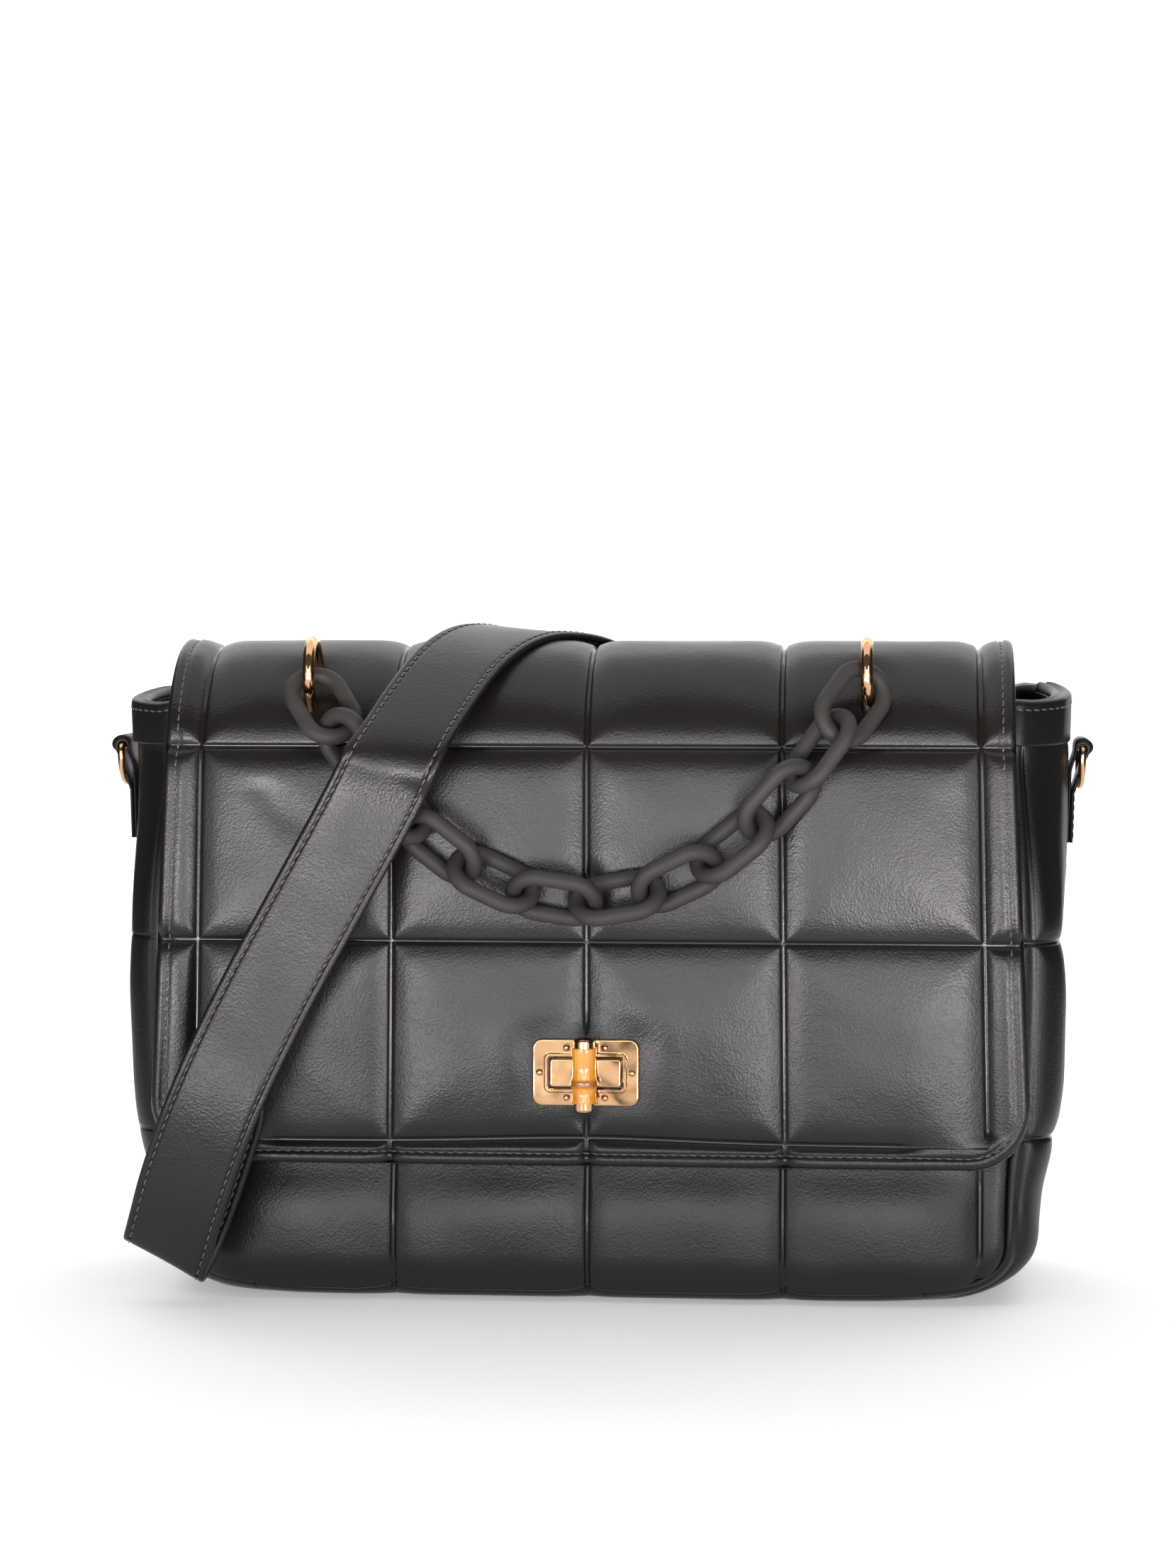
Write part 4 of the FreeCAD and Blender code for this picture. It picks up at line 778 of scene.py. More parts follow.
def bandGrid(s, across):
    # the band between the two seams: across runs -1 to 1 from the front seam over the side to the back seam
    x, z, nx, nz = outlineAt(s)
    inset = seamInset(x, z, nx, nz)
    seamTurn = np.arccos(1 - np.minimum(inset / bag["edge"], 1))
    flat = bagDeep(z) - bag["edge"]
    half = flat + bag["edge"] * seamTurn + np.maximum(inset - bag["edge"], 0)
    w = across[None, :] * half[:, None]
    roll = np.maximum(np.abs(w) - flat[:, None], 0)
    t = np.minimum(roll / bag["edge"], math.pi / 2)
    inward = bag["edge"] * (1 - np.cos(t)) + np.maximum(roll - bag["edge"] * math.pi / 2, 0)
    y = np.sign(w) * (np.minimum(np.abs(w), flat[:, None]) + bag["edge"] * np.sin(t))
    grid = np.stack([x[:, None] + nx[:, None] * inward, y, z[:, None] + nz[:, None] * inward], -1)
    return grid, w, half[:, None] - np.abs(w), np.broadcast_to(z[:, None], w.shape)


def baseMeet(ends):
    # 1 at the seam between base and gusset, falling smoothly to 0, so that both meet at one level
    return ease(ramp(ends, 24, 0))


def makeGusset(name, node, sign):
    # a side: quilted by two level lines and one line behind each seam, bulging between them
    levels = [outlineLevel(z) for z in bag["rows"][:0:-1]]
    s = stops(bag["baseSeam"], sideRun - 0.6, levels, 3.0)
    s = thinned(np.concatenate([s, bag["baseSeam"] + np.array([0.2, 0.6, 1.2, 2.0])]))
    near = 1 - np.array([0.0, 0.004, 0.012, 0.025, 0.045, 0.07, 0.1, 0.13, 0.145, 0.155, 0.165, 0.175, 0.185, 0.2,
                         0.23, 0.28, 0.34, 0.42, 0.5, 0.58, 0.66, 0.74, 0.82, 0.91])
    across = np.concatenate([-near, [0.0], near[::-1]])
    grid, w, toSeam, level = bandGrid(s, across)
    lines = mitre(nearest(np.broadcast_to(s[:, None], w.shape), levels), np.abs(toSeam - bag["sideLine"]))
    ends = s[:, None] - bag["baseSeam"] + 0 * w
    inside = np.minimum(toSeam, ends)
    share = pillow(mitre(lines, inside + bag["seamShare"]))
    bulge = bag["bulge"]["left" if sign < 0 else "right"]
    lift = -bag["sideRelief"] * (1 - share) + bulge * share + 0.3 * handWaves(w * 1.3, level, sign * 1.1) * share
    # flat behind the tab, where it stands on the floor, beside the base's seam and under the rim
    underTab = ramp(np.abs(w), 12.5, 8.5) * ramp(level, 160, 166)
    onFloor = ramp(level, 9, 0) * ramp(bagDeep(0) - bag["edge"] - np.abs(w), 0, 8)
    for flat in (underTab, onFloor, baseMeet(ends), ramp(level, *bag["rimPress"])):
        lift = pressTo(lift, -0.2, flat)
    lift = lift - roundedEdge(toSeam, bag["seamRound"]) - roundedEdge(ends, bag["endRound"])
    normal = normalsOf(grid)
    middle = normal[len(s) // 2, len(across) // 2]
    normal = normal * np.sign(middle[0])
    outer = grid + normal * lift[..., None]
    inner = grid - normal * (bag["wall"] - roundedEdge(inside, bag["seamRound"]))[..., None]
    flip = np.array([sign, 1, 1])
    points, faces, used = closedShell(settle(outer * flip), settle(inner * flip))
    piece = addPiece(name, points, faces, shadedBodyLeather, shellMark(channelMark(lines), used))
    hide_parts(node)
    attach(piece, "bag")


def makeBase():
    # the flat base between the gussets: its rolled front and back edges carry on the panels' quilting and fade it out
    s = stops(0, bag["baseSeam"] - 4, [0, 72], 4.0)
    s = np.concatenate([s, bag["baseSeam"] - np.array([3, 2.2, 1.4, 0.8, 0.3, 0.0])])
    across = np.concatenate([[-1, -0.995, -0.985, -0.97, -0.95, -0.92], np.linspace(-0.88, 0.88, 45),
                             [0.92, 0.95, 0.97, 0.985, 0.995, 1]])
    grid, _, toSeam, _ = bandGrid(s, across)
    grid = np.concatenate([grid[:0:-1] * np.array([-1, 1, 1]), grid])
    toSeam = np.concatenate([toSeam[:0:-1], toSeam])
    ends = np.maximum(bag["baseSeam"] - np.abs(grid[..., 0]), 0)
    normal = normalsOf(grid)
    normal *= -np.sign(normal[grid.shape[0] // 2, grid.shape[1] // 2, 2])
    x, y = grid[..., 0], grid[..., 1]
    floor, full = 0 * x + bag["seamFloor"], 0 * x + bag["seamBase"]
    edge = np.where(y < 0, panelLift(x, floor, full, 0 * x, -1)[0], panelLift(x, floor, full, 0 * x, 1)[0])
    fade = ease(ramp(toSeam, bag["edge"], 0))
    lift = edge * fade + (0.12 * handWaves(x, y, 0.2) - 0.2) * (1 - fade)
    lift = pressTo(lift, -0.2, baseMeet(ends))
    lift = lift - roundedEdge(toSeam, 0.15) - roundedEdge(ends, bag["endRound"])
    outer = grid + normal * lift[..., None]
    inner = grid - normal * (bag["wall"] - roundedEdge(ends, bag["endRound"]))[..., None]
    points, faces, used = closedShell(settle(outer), settle(inner))
    piece = addPiece("baseLeather", points, faces, shadedBodyLeather, np.zeros(len(used)))
    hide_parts("base_panel")
    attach(piece, "bag")


makeGusset("leftGussetQuilt", "left_gusset", -1)
makeGusset("rightGussetQuilt", "right_gusset", 1)
makeBase()
print("sides and base made")


def planStations(parts):
    # stations along a rounded rectangle: corner-centre share in x and y, and the outward direction
    columns = [[], [], []]
    for sx0, sy0, sx1, sy1, a0, a1, count in parts:
        t = np.linspace(0, 1, count, endpoint=False)
        columns[0].append(sx0 + (sx1 - sx0) * t)
        columns[1].append(sy0 + (sy1 - sy0) * t)
        columns[2].append(np.radians(a0 + (a1 - a0) * t))
    sx, sy, angle = (np.concatenate(c) for c in columns)
    return sx, sy, np.cos(angle), np.sin(angle)


def planPoint(stations, halfX, halfY, radius, out):
    # station times half sizes, plus the corner radius and an outward offset
    sx, sy, c, s = stations
    return sx * (halfX - radius) + (radius + out) * c, sy * (halfY - radius) + (radius + out) * s


rim = {"low": 205.5, "top": 222.95, "wall": 6.0, "skin": 0.95, "roll": 2.6, "crease": 1.5, "tuck": 220.2,
       "stitchDrop": 3.8, "stitch": {"pitch": 3.6, "long": 2.7, "wide": 0.7}}


def fixNormals(piece):
    # turns every face outwards on a closed mesh
    bpy.context.view_layer.objects.active = piece
    piece.select_set(True)
    bpy.ops.object.mode_set(mode="EDIT")
    bpy.ops.mesh.select_all(action="SELECT")
    bpy.ops.mesh.normals_make_consistent(inside=False)
    bpy.ops.object.mode_set(mode="OBJECT")
    piece.select_set(False)


def makeRim():
    # a leather strip folded over the rim: its section is carried round the sides and the front
    around = planStations([(-1, 1, -1, 1, 156.4, 180, 6), (-1, 1, -1, -1, 180, 180, 18), (-1, -1, -1, -1, 180, 270, 18),
                           (-1, -1, 1, -1, 270, 270, 80), (1, -1, 1, -1, 270, 360, 18), (1, -1, 1, 1, 360, 360, 18),
                           (1, 1, 1, 1, 360, 383.6, 7)])
    skin, low, top, roll = rim["skin"], rim["low"], rim["top"], rim["roll"]
    inner = -rim["wall"] - skin
    sewn = top - rim["stitchDrop"]
    crown = np.linspace(0, math.pi, 15)
    # outside going up, a double-edged top with a crease between its two layers, then down inside
    topOut = (skin + inner) / 2 + (skin - inner) / 2 * np.cos(crown)
    topUp = top - roll + roll * np.sin(crown) ** 0.6 - rim["crease"] * np.exp(-((crown - math.pi / 2) / 0.30) ** 2)
    out = np.concatenate([[0.1, skin - 0.2, skin, skin, skin - 0.22, skin, skin], topOut,
                          [inner, inner, inner + 0.2, -rim["wall"] - 0.1, -rim["wall"] - 0.1, -3.0, 0.1]])
    up = np.concatenate([[low, low - 0.1, low + 0.6, sewn - 0.8, sewn, sewn + 0.8, top - roll - 0.1], topUp,
                         [top - roll - 0.1, low + 0.5, low, low + 0.3, rim["tuck"], rim["tuck"] + 0.2, rim["tuck"]]])
    x, y = planPoint([k[:, None] for k in around], bagHalf(up)[None, :], bagDeep(up)[None, :], bag["edge"],
                     out[None, :])
    wave = 0.12 * np.sin(np.arange(len(around[0])) / 3.1)[:, None] * (up > top - 6)[None, :]
    grid = settle(np.stack([x, y, up[None, :] + wave + 0 * x], -1))
    rows, cols = grid.shape[:2]
    faces = [face[::-1] for face in tubeFaces(rows, cols)]
    band = addPiece("rimBand", grid, faces, bindingLeather, np.zeros(rows * cols))
    fixNormals(band)
    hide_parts("rim_binding")
    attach(band, "bag")
    for number, offset in enumerate((skin - 0.1, inner + 0.02)):
        x, y = planPoint(around, bagHalf(sewn), bagDeep(sewn), bag["edge"], offset)
        path = settle(np.stack([x, y, np.full(len(x), sewn)], -1))
        facing = np.stack([around[2], around[3], 0 * x], -1) * (1 if number == 0 else -1)
        row = stitchRow("rimStitches%d" % (number + 1), path, facing, rim["stitch"])
        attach(row, "bag")


makeRim()


lining = {"top": 204.2, "floor": 8.6, "foot": 48.0, "wall": 6.5, "turnX": 34.0, "turnY": 13.5, "thick": 1.1,
          "slack": 0.5}


def makeLining():
    # a cloth bag inside: rings of a rounded rectangle from the rim down to the floor, then in to the middle
    around = planStations([(-1, -1, 1, -1, 270, 270, 60), (1, -1, 1, -1, 270, 360, 14), (1, -1, 1, 1, 360, 360, 16),
                           (1, 1, 1, 1, 0, 90, 14), (1, 1, -1, 1, 90, 90, 60), (-1, 1, -1, 1, 90, 180, 14),
                           (-1, 1, -1, -1, 180, 180, 16), (-1, -1, -1, -1, 180, 270, 14)])
    floor = lining["floor"]
    bend = np.sin(np.linspace(0.05, math.pi / 2, 22))
    z = np.concatenate([np.linspace(lining["top"], lining["foot"], 50), floor + 40 * (1 - bend)])
    up = z - floor
    halfX = bagHalf(z) - lining["wall"] - roundedEdge(up, lining["turnX"])
    halfY = bagDeep(z) - lining["wall"] - roundedEdge(up, lining["turnY"])
    shrink = np.linspace(0.94, 0.06, 16)
    z = np.concatenate([z, 0 * shrink + floor])
    halfX = np.concatenate([halfX, halfX[-1] * shrink])
    halfY = np.concatenate([halfY, halfY[-1] * shrink])
    radius = np.minimum(lining["turnY"], halfY * 0.6)
    k = [c[None, :] for c in around]
    x, y = planPoint(k, halfX[:, None], halfY[:, None], radius[:, None], 0)
    slack = lining["slack"] * handWaves(x * 0.7 + y, z[:, None], 1.3) * ramp(z, 200, 170)[:, None]
    slack = slack * np.clip((z - floor) / 10, 0.1, 1)[:, None]
    outside = np.stack([x + k[2] * 0.25, y + k[3] * 0.25, z[:, None] - 0.3 + 0 * x], -1)
    thick = lining["thick"] + 0.6 * slack
    inside = np.stack([x - k[2] * thick, y - k[3] * thick, z[:, None] + 0.5 + 0 * x], -1)
    rows, cols = x.shape
    quads = gridQuads(rows, cols, wrapCols=True)
    shift = rows * cols
    c = np.arange(cols)
    n = (c + 1) % cols
    lip = np.stack([c, n, n + shift, c + shift], -1)
    last = (rows - 1) * cols
    plugs = [list(range(last, last + cols)), list(range(last + shift, last + shift + cols))[::-1]]
    faces = quads[:, ::-1].tolist() + (quads + shift).tolist() + lip.tolist() + plugs
    cloth = addPiece("liningCloth", settle(np.concatenate([outside.reshape(-1, 3), inside.reshape(-1, 3)])), faces,
                     liningCloth)
    fixNormals(cloth)
    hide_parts("lining")
    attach(cloth, "bag")


makeLining()
print("rim and lining made")

strap = {
    "route": [
        (-123, -73, 100, 26), (-129.5, -72, 84, 26), (-136, -70.5, 66, 26), (-142.5, -69.5, 46, 28),
        (-149.5, -69.5, 27.5, 29), (-155, -76, 15, 29), (-150.5, -82, 27, 29), (-144.5, -87.5, 46.5, 28),
        (-132, -92.5, 79, 26), (-114.5, -89, 116, 20), (-94, -87, 153, 10), (-74.5, -87.5, 188, 0),
        (-66, -91.5, 205, 0), (-57, -69, 223, 2), (-47, -43, 239.4, 4), (-34, -19, 247.2, 5), (-18, 8, 244.9, 5),
        (-3, 30.3, 235, 3), (9, 46, 219.8, 0), (22, 48.5, 197, 0), (44, 52, 165, 0), (71, 57, 122, 0),
        (99, 63, 76, 0)],
    "wide": 34.0, "endWide": 20.0, "taper": 34.0, "thick": 3.0, "samples": 260, "stitchIn": 3.0, "groove": 0.32,
    "stitch": {"pitch": 3.8, "long": 2.9, "wide": 0.85}}    # each route point is x, y, z and a lean in degrees
strapEye = {"inner": 1.85, "outer": 4.05}


def strapFrames():
    # points, directions and width directions on a clamped quadratic B-spline through the route's control points
    route = np.array(strap["route"], float)
    count = len(route)
    spans = count - 2
    u = np.linspace(0, spans, strap["samples"])
    span = np.minimum(u.astype(int), spans - 1)
    knots = np.concatenate([[0, 0], np.arange(spans + 1), [spans, spans]]).astype(float)
    k = span + 2
    left1, right1 = u - knots[k], knots[k + 1] - u
    left2, right2 = u - knots[k - 1], knots[k + 2] - u
    one = right1 / (right1 + left1)
    two = left1 / (right1 + left1)
    n0 = one * right1 / (right1 + left2)
    n1 = one * left2 / (right1 + left2) + two * right2 / (right2 + left1)
    n2 = two * left1 / (right2 + left1)
    weights = np.stack([n0, n1, n2], -1)
    poles = route[span[:, None] + np.arange(3)[None, :]]
    point = (weights[..., None] * poles[..., :3]).sum(1)
    along = np.gradient(point, axis=0)
    along /= np.linalg.norm(along, axis=1, keepdims=True)
    lean = np.radians(np.interp(u / spans * (count - 1), np.arange(count), route[:, 3]))
    hint = np.stack([np.cos(lean), 0 * lean, -np.sin(lean)], -1)
    width = hint - along * (hint * along).sum(1, keepdims=True)
    width /= np.linalg.norm(width, axis=1, keepdims=True)
    return point, along, width


def makeStrap():
    # a two-layer strap: a flat rounded section with a pressed line beside each edge, carried along the route
    point, along, width = strapFrames()
    up = np.cross(along, width)
    run = np.concatenate([[0], np.cumsum(np.linalg.norm(np.diff(point, axis=0), axis=1))])
    near = ramp(np.minimum(run, run[-1] - run), 0, strap["taper"])
    half = (strap["endWide"] + (strap["wide"] - strap["endWide"]) * ease(near)) / 2
    inset = np.array([0.0, 0.25, 0.7, 1.3, 2.0, 2.5, 2.8, 3.0, 3.2, 3.5, 4.2, 5.4, 7.5, 10.5, 13.5])
    t = np.concatenate([-half[:, None] + inset[None, :], 0 * half[:, None], half[:, None] - inset[None, ::-1]], 1)
    edge = half[:, None] - np.abs(t)
    lift = strap["thick"] / 2 - roundedEdge(edge, 1.3) * 0.95
    lift = lift - strap["groove"] * np.exp(-((edge - strap["stitchIn"]) / 0.45) ** 2) - 0.12 * np.exp(-edge / 5.0)
    ripple = 0.10 * handWaves(run[:, None] * 0.8 + 0 * t, t * 2.0, 0.7) * np.clip(edge / 4, 0, 1)
    top = point[:, None] + width[:, None] * t[..., None] + up[:, None] * (lift + ripple)[..., None]
    under = point[:, None] + width[:, None] * t[..., None] - up[:, None] * (lift - ripple)[..., None]
    section = np.concatenate([top, under[:, ::-1]], 1)
    pressed = np.exp(-((edge - strap["stitchIn"]) / 0.6) ** 2) * 0.8
    mark = np.concatenate([pressed, pressed[:, ::-1]], 1)
    band = addPiece("strapBand", section, tubeFaces(*section.shape[:2]), strapLeather, mark)
    fixNormals(band)
    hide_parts("shoulder_strap")
    pieces = []
    sewn = np.maximum(half - strap["stitchIn"], 1)
    high = strap["thick"] / 2 - strap["groove"] + 0.2
    for number, (side, face) in enumerate(((-1, 1), (1, 1), (-1, -1), (1, -1))):
        path = point + width * (side * sewn)[:, None] + up * (face * high)
        pieces.append(stitchRow("strapStitches%d" % (number + 1), path, up * face, strap["stitch"]))
    # each end turns round the bar of its hook
    for name, at, sign in (("strapEyeFront", 0, -1), ("strapEyeBack", -1, 1)):
        away = along[at] * sign
        bar = point[at] + away * (strapEye["outer"] - 0.6)
        turn = np.linspace(0, 2 * math.pi, 28, endpoint=False)
        edge = np.linspace(-1, 1, 9)
        roll = strapEye["outer"] - 0.5 * np.abs(edge) ** 6
        ring = np.concatenate([np.stack([roll, edge], -1), np.stack([0 * edge + strapEye["inner"], edge[::-1]], -1)])
        grid = (bar + (away * np.cos(turn)[:, None] + up[at] * np.sin(turn)[:, None])[:, None] * ring[None, :, :1]
                + width[at] * ring[None, :, 1:] * strap["endWide"] / 2)
        quads = gridQuads(len(turn), len(ring), wrapRows=True, wrapCols=True)
        eye = addPiece(name, grid, quads, strapLeather, np.zeros(len(turn) * len(ring)))
        fixNormals(eye)
        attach(eye, "flap" if at == 0 else "bag")
        pieces.append(eye)
    for piece in [band] + pieces[:4]:
        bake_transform(piece)
    print("strap length mm", round(float(run[-1]), 1))


makeStrap()


def makeToggle():
    # a short bamboo cane: radius along its length, with a swollen knot, turned about a vertical axis
    half = lock["toggleLong"] / 2 - lock["ferrule"] - 0.05
    h = np.linspace(-half, half, 49)
    knot = h + lock["knotDrop"]
    radius = lock["cane"] - 0.35 * np.exp(-((knot - 5.5) / 4.0) ** 2) - 0.25 * np.exp(-((knot + 3.8) / 2.0) ** 2)
    radius = radius + 0.62 * np.exp(-(np.abs(knot) / 1.15) ** 3) - 0.28 * np.exp(-((knot - 0.1) / 0.28) ** 2)
    turn = np.linspace(0, 2 * math.pi, 48, endpoint=False)
    r = radius[:, None] * (1 + 0.012 * np.sin(5 * turn + 0.4))[None, :]
    grid = np.stack([lock["caneOval"] * r * np.cos(turn), lock["toggleY"] + r * np.sin(turn),
                     lock["z"] + h[:, None] + 0 * r], -1)
    cane = addPiece("bambooCane", grid, tubeFaces(*r.shape), bambooCane)
    fixNormals(cane)
    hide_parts("bamboo_toggle")
    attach(cane, "toggle")


makeToggle()

rivet = {"face": -63.5, "radius": 1.35, "rise": 0.95, "sideX": 17.0, "pairX": 7.0, "pairZ": 9.2}


def makeRivetDomes():
    # a low dome over each of the six rivet heads: rise times (1 - (r / radius)^2)^0.6 in front of the plate
    r = rivet["radius"] * np.array([0.0, 0.2, 0.4, 0.58, 0.74, 0.87, 0.95, 0.99, 1.0, 1.0])
    rise = rivet["rise"] * np.maximum(1 - (r / rivet["radius"]) ** 2, 0) ** 0.6
    rise[-1] = -0.3
    r[0] = 0.01
    turn = np.linspace(0, 2 * math.pi, 28, endpoint=False)
    spots = [(-rivet["sideX"], 0), (rivet["sideX"], 0)] + [
        (sx * rivet["pairX"], sz * rivet["pairZ"]) for sx in (-1, 1) for sz in (-1, 1)]
    points, faces = [], []
    for x, z in spots:
        start = len(points) * len(r) * len(turn)
        points.append(np.stack([x + r[:, None] * np.cos(turn), rivet["face"] - rise[:, None] + 0 * turn[None, :],
                                lock["z"] + z + r[:, None] * np.sin(turn)], -1).reshape(-1, 3))
        faces += [[start + k for k in face] for face in tubeFaces(len(r), len(turn))]
    domes = addPiece("rivetDomes", np.concatenate(points), faces, goldPlate)
    fixNormals(domes)
    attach(domes, "flap")


makeRivetDomes()

tab = {"foot": 167.5, "high": 38.0, "wide": 18.0, "layer": 1.2, "inOut": 0.75, "outOut": 2.05, "lead": 9.0,
       "ringOut": 5.0, "wire": 1.4, "play": 0.2, "stuffed": 2.6, "stitchIn": 2.4,
       "stitch": {"pitch": 3.4, "long": 2.5, "wide": 0.65}}


def makeTab(name, node, sign):
    # a leather strip that goes up the gusset, turns round the ring's bar and comes down outside, sewn through
    bar = tab["high"] - tab["layer"] - tab["wire"] - tab["play"]
    loop = tab["wire"] + tab["play"] + tab["layer"] / 2
    start = bar - tab["lead"]
    inUp = np.stack([np.full(12, tab["inOut"]), np.linspace(0, start, 12)], -1)
    t = np.linspace(0.1, 1, 10)
    lead = np.stack([tab["inOut"] + (tab["ringOut"] - loop - tab["inOut"]) * ease(t), start + tab["lead"] * t], -1)
    turn = np.linspace(math.pi, -0.55, 24)[1:]
    over = np.stack([tab["ringOut"] + loop * np.cos(turn), bar + loop * np.sin(turn)], -1)
    low = over[-1]
    drop = np.linspace(0, 1, 14)[1:]
    down = np.stack([low[0] + (tab["outOut"] - low[0]) * np.minimum(drop * 2.2, 1) ** 0.9, low[1] * (1 - drop)], -1)
    path = np.concatenate([inUp, lead, over, down])
    along = np.gradient(path, axis=0)
    along /= np.linalg.norm(along, axis=1, keepdims=True)
    off = np.stack([-along[:, 1], along[:, 0]], -1)
    edge = np.array([0.0, 0.3, 0.8, 1.5, 2.2, 2.6, 3.0, 4.0, 6.0, 9.0])
    t = np.concatenate([edge - tab["wide"] / 2, (tab["wide"] / 2 - edge)[::-1][1:]])
    inset = tab["wide"] / 2 - np.abs(t)
    lift = tab["layer"] / 2 - roundedEdge(inset, 0.55) - 0.16 * np.exp(-((inset - tab["stitchIn"]) / 0.4) ** 2)
    lean = bag["lean"]

    def place(uv, y):
        # from out and up on the leaning side to the bag's own axes
        out = (math.cos(lean), -math.sin(lean))
        up = (math.sin(lean), math.cos(lean))
        base = bagHalf(tab["foot"]) + 0.15
        return np.stack([sign * (base + uv[..., 0] * out[0] + uv[..., 1] * up[0]), y + 0 * uv[..., 0],
                         tab["foot"] + uv[..., 0] * out[1] + uv[..., 1] * up[1]], -1)

    step = np.arange(len(path)) - len(inUp) - len(lead) - 12
    fat = lift[None, :] * (1 + tab["stuffed"] * np.exp(-(step / 9.0) ** 4))[:, None]    # thicker where the fold turns
    outerSide = place(path[:, None] + off[:, None] * fat[:, :, None], t[None, :])
    innerSide = place(path[:, None] - off[:, None] * lift[None, :, None], t[None, :])
    section = np.concatenate([outerSide, innerSide[:, ::-1]], 1)
    rows, cols = section.shape[:2]
    piece = addPiece(name, section, tubeFaces(rows, cols), bindingLeather, np.zeros(rows * cols))
    fixNormals(piece)
    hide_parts(node)
    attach(piece, "bag")
    # stitches up both edges and across the foot
    rise = np.linspace(tab["stitchIn"], bar - 7, 24)
    half = tab["wide"] / 2 - tab["stitchIn"]
    y = np.concatenate([np.full(24, -half), np.linspace(-half, half, 14)[1:-1], np.full(24, half)])
    v = np.concatenate([rise[::-1], np.full(12, tab["stitchIn"]), rise])
    u = np.interp(v, down[::-1, 1], down[::-1, 0]) + tab["layer"] / 2
    row = place(np.stack([u, v], -1), y)
    facing = np.tile([sign * math.cos(lean), 0, -math.sin(lean)], (len(v), 1))
    stitches = stitchRow(name + "Stitches", row, facing, tab["stitch"])
    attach(stitches, "bag")


makeTab("leftTabLeather", "left_side_tab", -1)
makeTab("rightTabLeather", "right_side_tab", 1)
print("strap, toggle and tabs made")

finishes = {"gold_metal": goldPlate, "plain_steel": rolledSteel, "rubber_coat": rubberCoat, "bamboo_cane": bambooCane,
            "stiff_board": pressedBoard, "lining_cloth": liningCloth, "quilted_leather": quiltLeather,
            "smooth_leather": strapLeather}
for part in frame["record"]["subparts"]:
    node = frame["nodes"][part["node"]]
    node.data.materials.clear()
    node.data.materials.append(finishes[part["material_slot"]])
print("fittings finished")


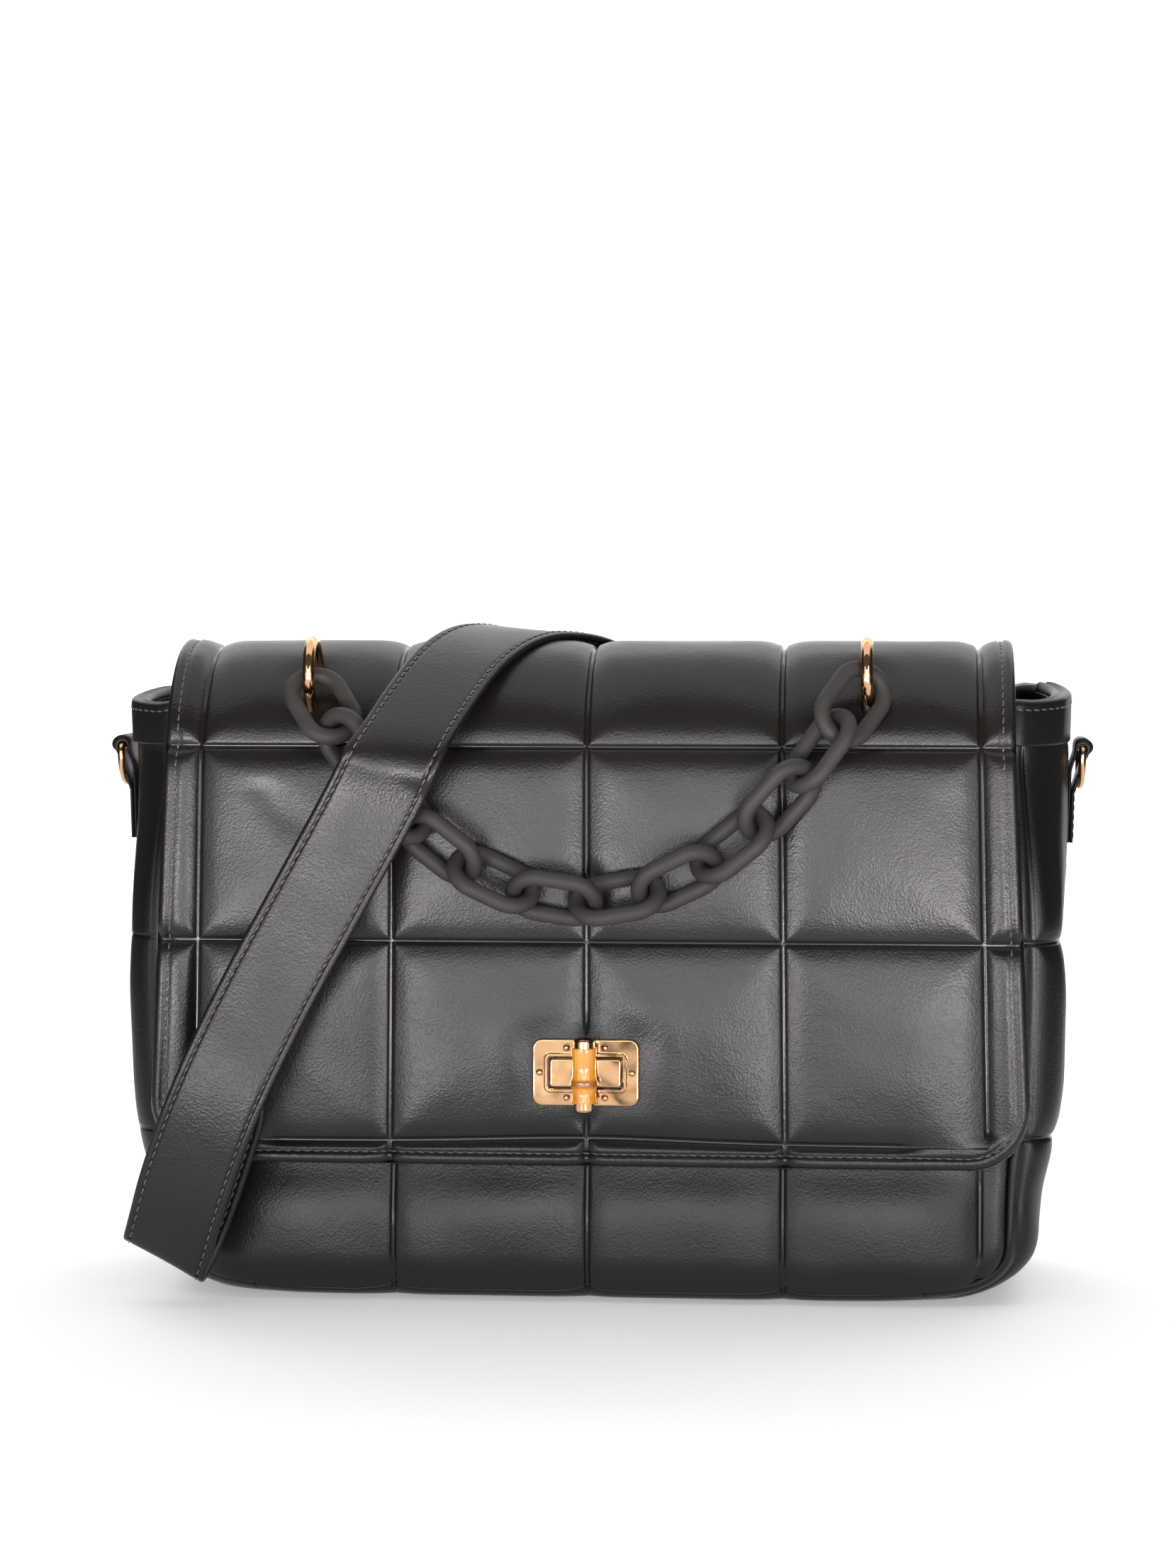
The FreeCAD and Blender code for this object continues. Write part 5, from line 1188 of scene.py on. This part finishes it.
def makeStage():
    # a pale floor that curves up far behind, soft lights, two of them strips on the floor, and the photo's camera angle
    material, tree, shader, place = startMaterial("paperSweep", Roughness=0.9)
    shader.inputs["Emission Color"].default_value = (1, 1, 1, 1)
    away = addNode(tree, "ShaderNodeVectorMath", {0: place}, operation="LENGTH").outputs["Value"]
    glow = addNode(tree, "ShaderNodeMapRange", {"Value": away, "From Min": 0.8, "From Max": 3.0, "To Min": 0.3,
                                                "To Max": 0.95}, interpolation_type="SMOOTHSTEP")
    tree.links.new(glow.outputs[0], shader.inputs["Emission Strength"])
    fleck = addNode(tree, "ShaderNodeTexNoise", {"Vector": place, "Scale": 8.0, "Detail": 3.0})
    tree.links.new(blendColour(tree, fleck.outputs["Fac"], "#f6f6f6", "#fbfbfb"), shader.inputs["Base Color"])
    x = np.linspace(-6000, 6000, 9)
    bend = np.linspace(0, math.pi / 2, 13)
    y = np.concatenate([[-6000, -2000, 0], 2500 + 1500 * np.sin(bend), [4000]])
    z = np.concatenate([[0, 0, 0], 1500 * (1 - np.cos(bend)), [6000]]) - 0.25
    grid = np.stack(np.broadcast_arrays(x[None, :], y[:, None], z[:, None]), -1)
    mesh = bpy.data.meshes.new("paperSweep")
    mesh.from_pydata((grid.reshape(-1, 3) * mm).tolist(), [], gridQuads(len(y), 9).tolist())
    mesh.polygons.foreach_set("use_smooth", np.ones(len(mesh.polygons), bool))
    mesh.materials.append(material)
    floor = bpy.data.objects.new("paperSweep", mesh)
    bpy.context.scene.collection.objects.link(floor)
    # black cards outside the picture, seen only in reflections: two keep the turning edges dark, one shades the lock
    cards = {"leftCard": [(-0.62, -0.42, 0.002), (-0.62, 0.9, 0.002), (-0.62, 0.9, 0.6), (-0.62, -0.42, 0.6)],
             "rightCard": [(0.66, -0.42, 0.002), (0.66, 0.9, 0.002), (0.66, 0.9, 0.6), (0.66, -0.42, 0.6)],
             "floorCard": [(-0.055, -0.76, 0.003), (0.0, -0.74, 0.003), (0.0, -0.6, 0.003), (-0.07, -0.62, 0.003)]}
    black, _, shader, _ = startMaterial("blackCard", Roughness=0.95)
    shader.inputs["Base Color"].default_value = linear("#0d0d0d")
    for name, corners in cards.items():
        mesh = bpy.data.meshes.new(name)
        mesh.from_pydata(corners, [], [(0, 1, 2, 3)])
        mesh.materials.append(black)
        card = bpy.data.objects.new(name, mesh)
        card.visible_camera = False
        card.visible_diffuse = False
        card.visible_shadow = False
        bpy.context.scene.collection.objects.link(card)
    warm = (1.0, 0.965, 0.95)
    lights = {
        "topLight": {"at": (0, 0.45, 2.1), "aim": (0, 0.3, 0), "size": (3.6, 3.0), "power": 40},
        "leftGlow": {"at": (-0.30, -1.05, 0.004), "aim": (-0.30, -1.049, 1.0), "size": (0.3, 0.9), "power": 23.0,
                     "colour": warm},
        "rightGlow": {"at": (0.27, -1.0, 0.004), "aim": (0.27, -0.999, 1.0), "size": (0.3, 0.9), "power": 20.5,
                      "colour": warm},
        "frontLight": {"at": (0, -2.2, 0.36), "aim": (0, 0, 0.14), "size": (1.4, 0.66), "power": 14},
        "leftLight": {"at": (-0.95, -1.6, 0.45), "aim": (0, -0.05, 0.12), "size": (0.6, 0.85), "power": 3},
        "rightLight": {"at": (1.0, -1.55, 0.45), "aim": (0, -0.05, 0.12), "size": (0.6, 0.85), "power": 5}}
    for name, look in lights.items():
        lamp = bpy.data.lights.new(name, "AREA")
        lamp.shape = "RECTANGLE"
        lamp.size, lamp.size_y = look["size"]
        lamp.energy = look["power"]
        lamp.color = look.get("colour", (1, 1, 1))
        holder = bpy.data.objects.new(name, lamp)
        holder.location = look["at"]
        aim = np.array(look["aim"]) - np.array(look["at"])
        flat = math.hypot(aim[0], aim[1])
        holder.rotation_euler = (math.atan2(flat, -aim[2]), 0, math.atan2(aim[1], aim[0]) - math.pi / 2)
        bpy.context.scene.collection.objects.link(holder)
    world = bpy.data.worlds.new("softRoom")
    bpy.context.scene.world = world
    world.use_nodes = True
    tree = world.node_tree
    seen = addNode(tree, "ShaderNodeLightPath").outputs["Is Camera Ray"]
    glow = addNode(tree, "ShaderNodeMapRange", {"Value": seen, "To Min": 0.12, "To Max": 1.0}).outputs[0]
    tree.nodes["Background"].inputs["Color"].default_value = (1, 1, 1, 1)
    tree.links.new(glow, tree.nodes["Background"].inputs["Strength"])    # the room is dim, and its wall is seen white
    view = {"at": (0.1047, -1.362, 0.265), "tilt": 0.0561, "turn": 0.0798, "lens": 82.22}
    eye = bpy.data.cameras.new("photoView")
    eye.lens = view["lens"]
    eye.sensor_width = 36.0
    camera = bpy.data.objects.new("photoView", eye)
    camera.location = view["at"]
    camera.rotation_euler = (math.pi / 2 - view["tilt"], 0, view["turn"])
    bpy.context.scene.collection.objects.link(camera)
    bpy.context.scene.camera = camera
    bpy.context.scene.view_settings.view_transform = "Standard"


makeStage()
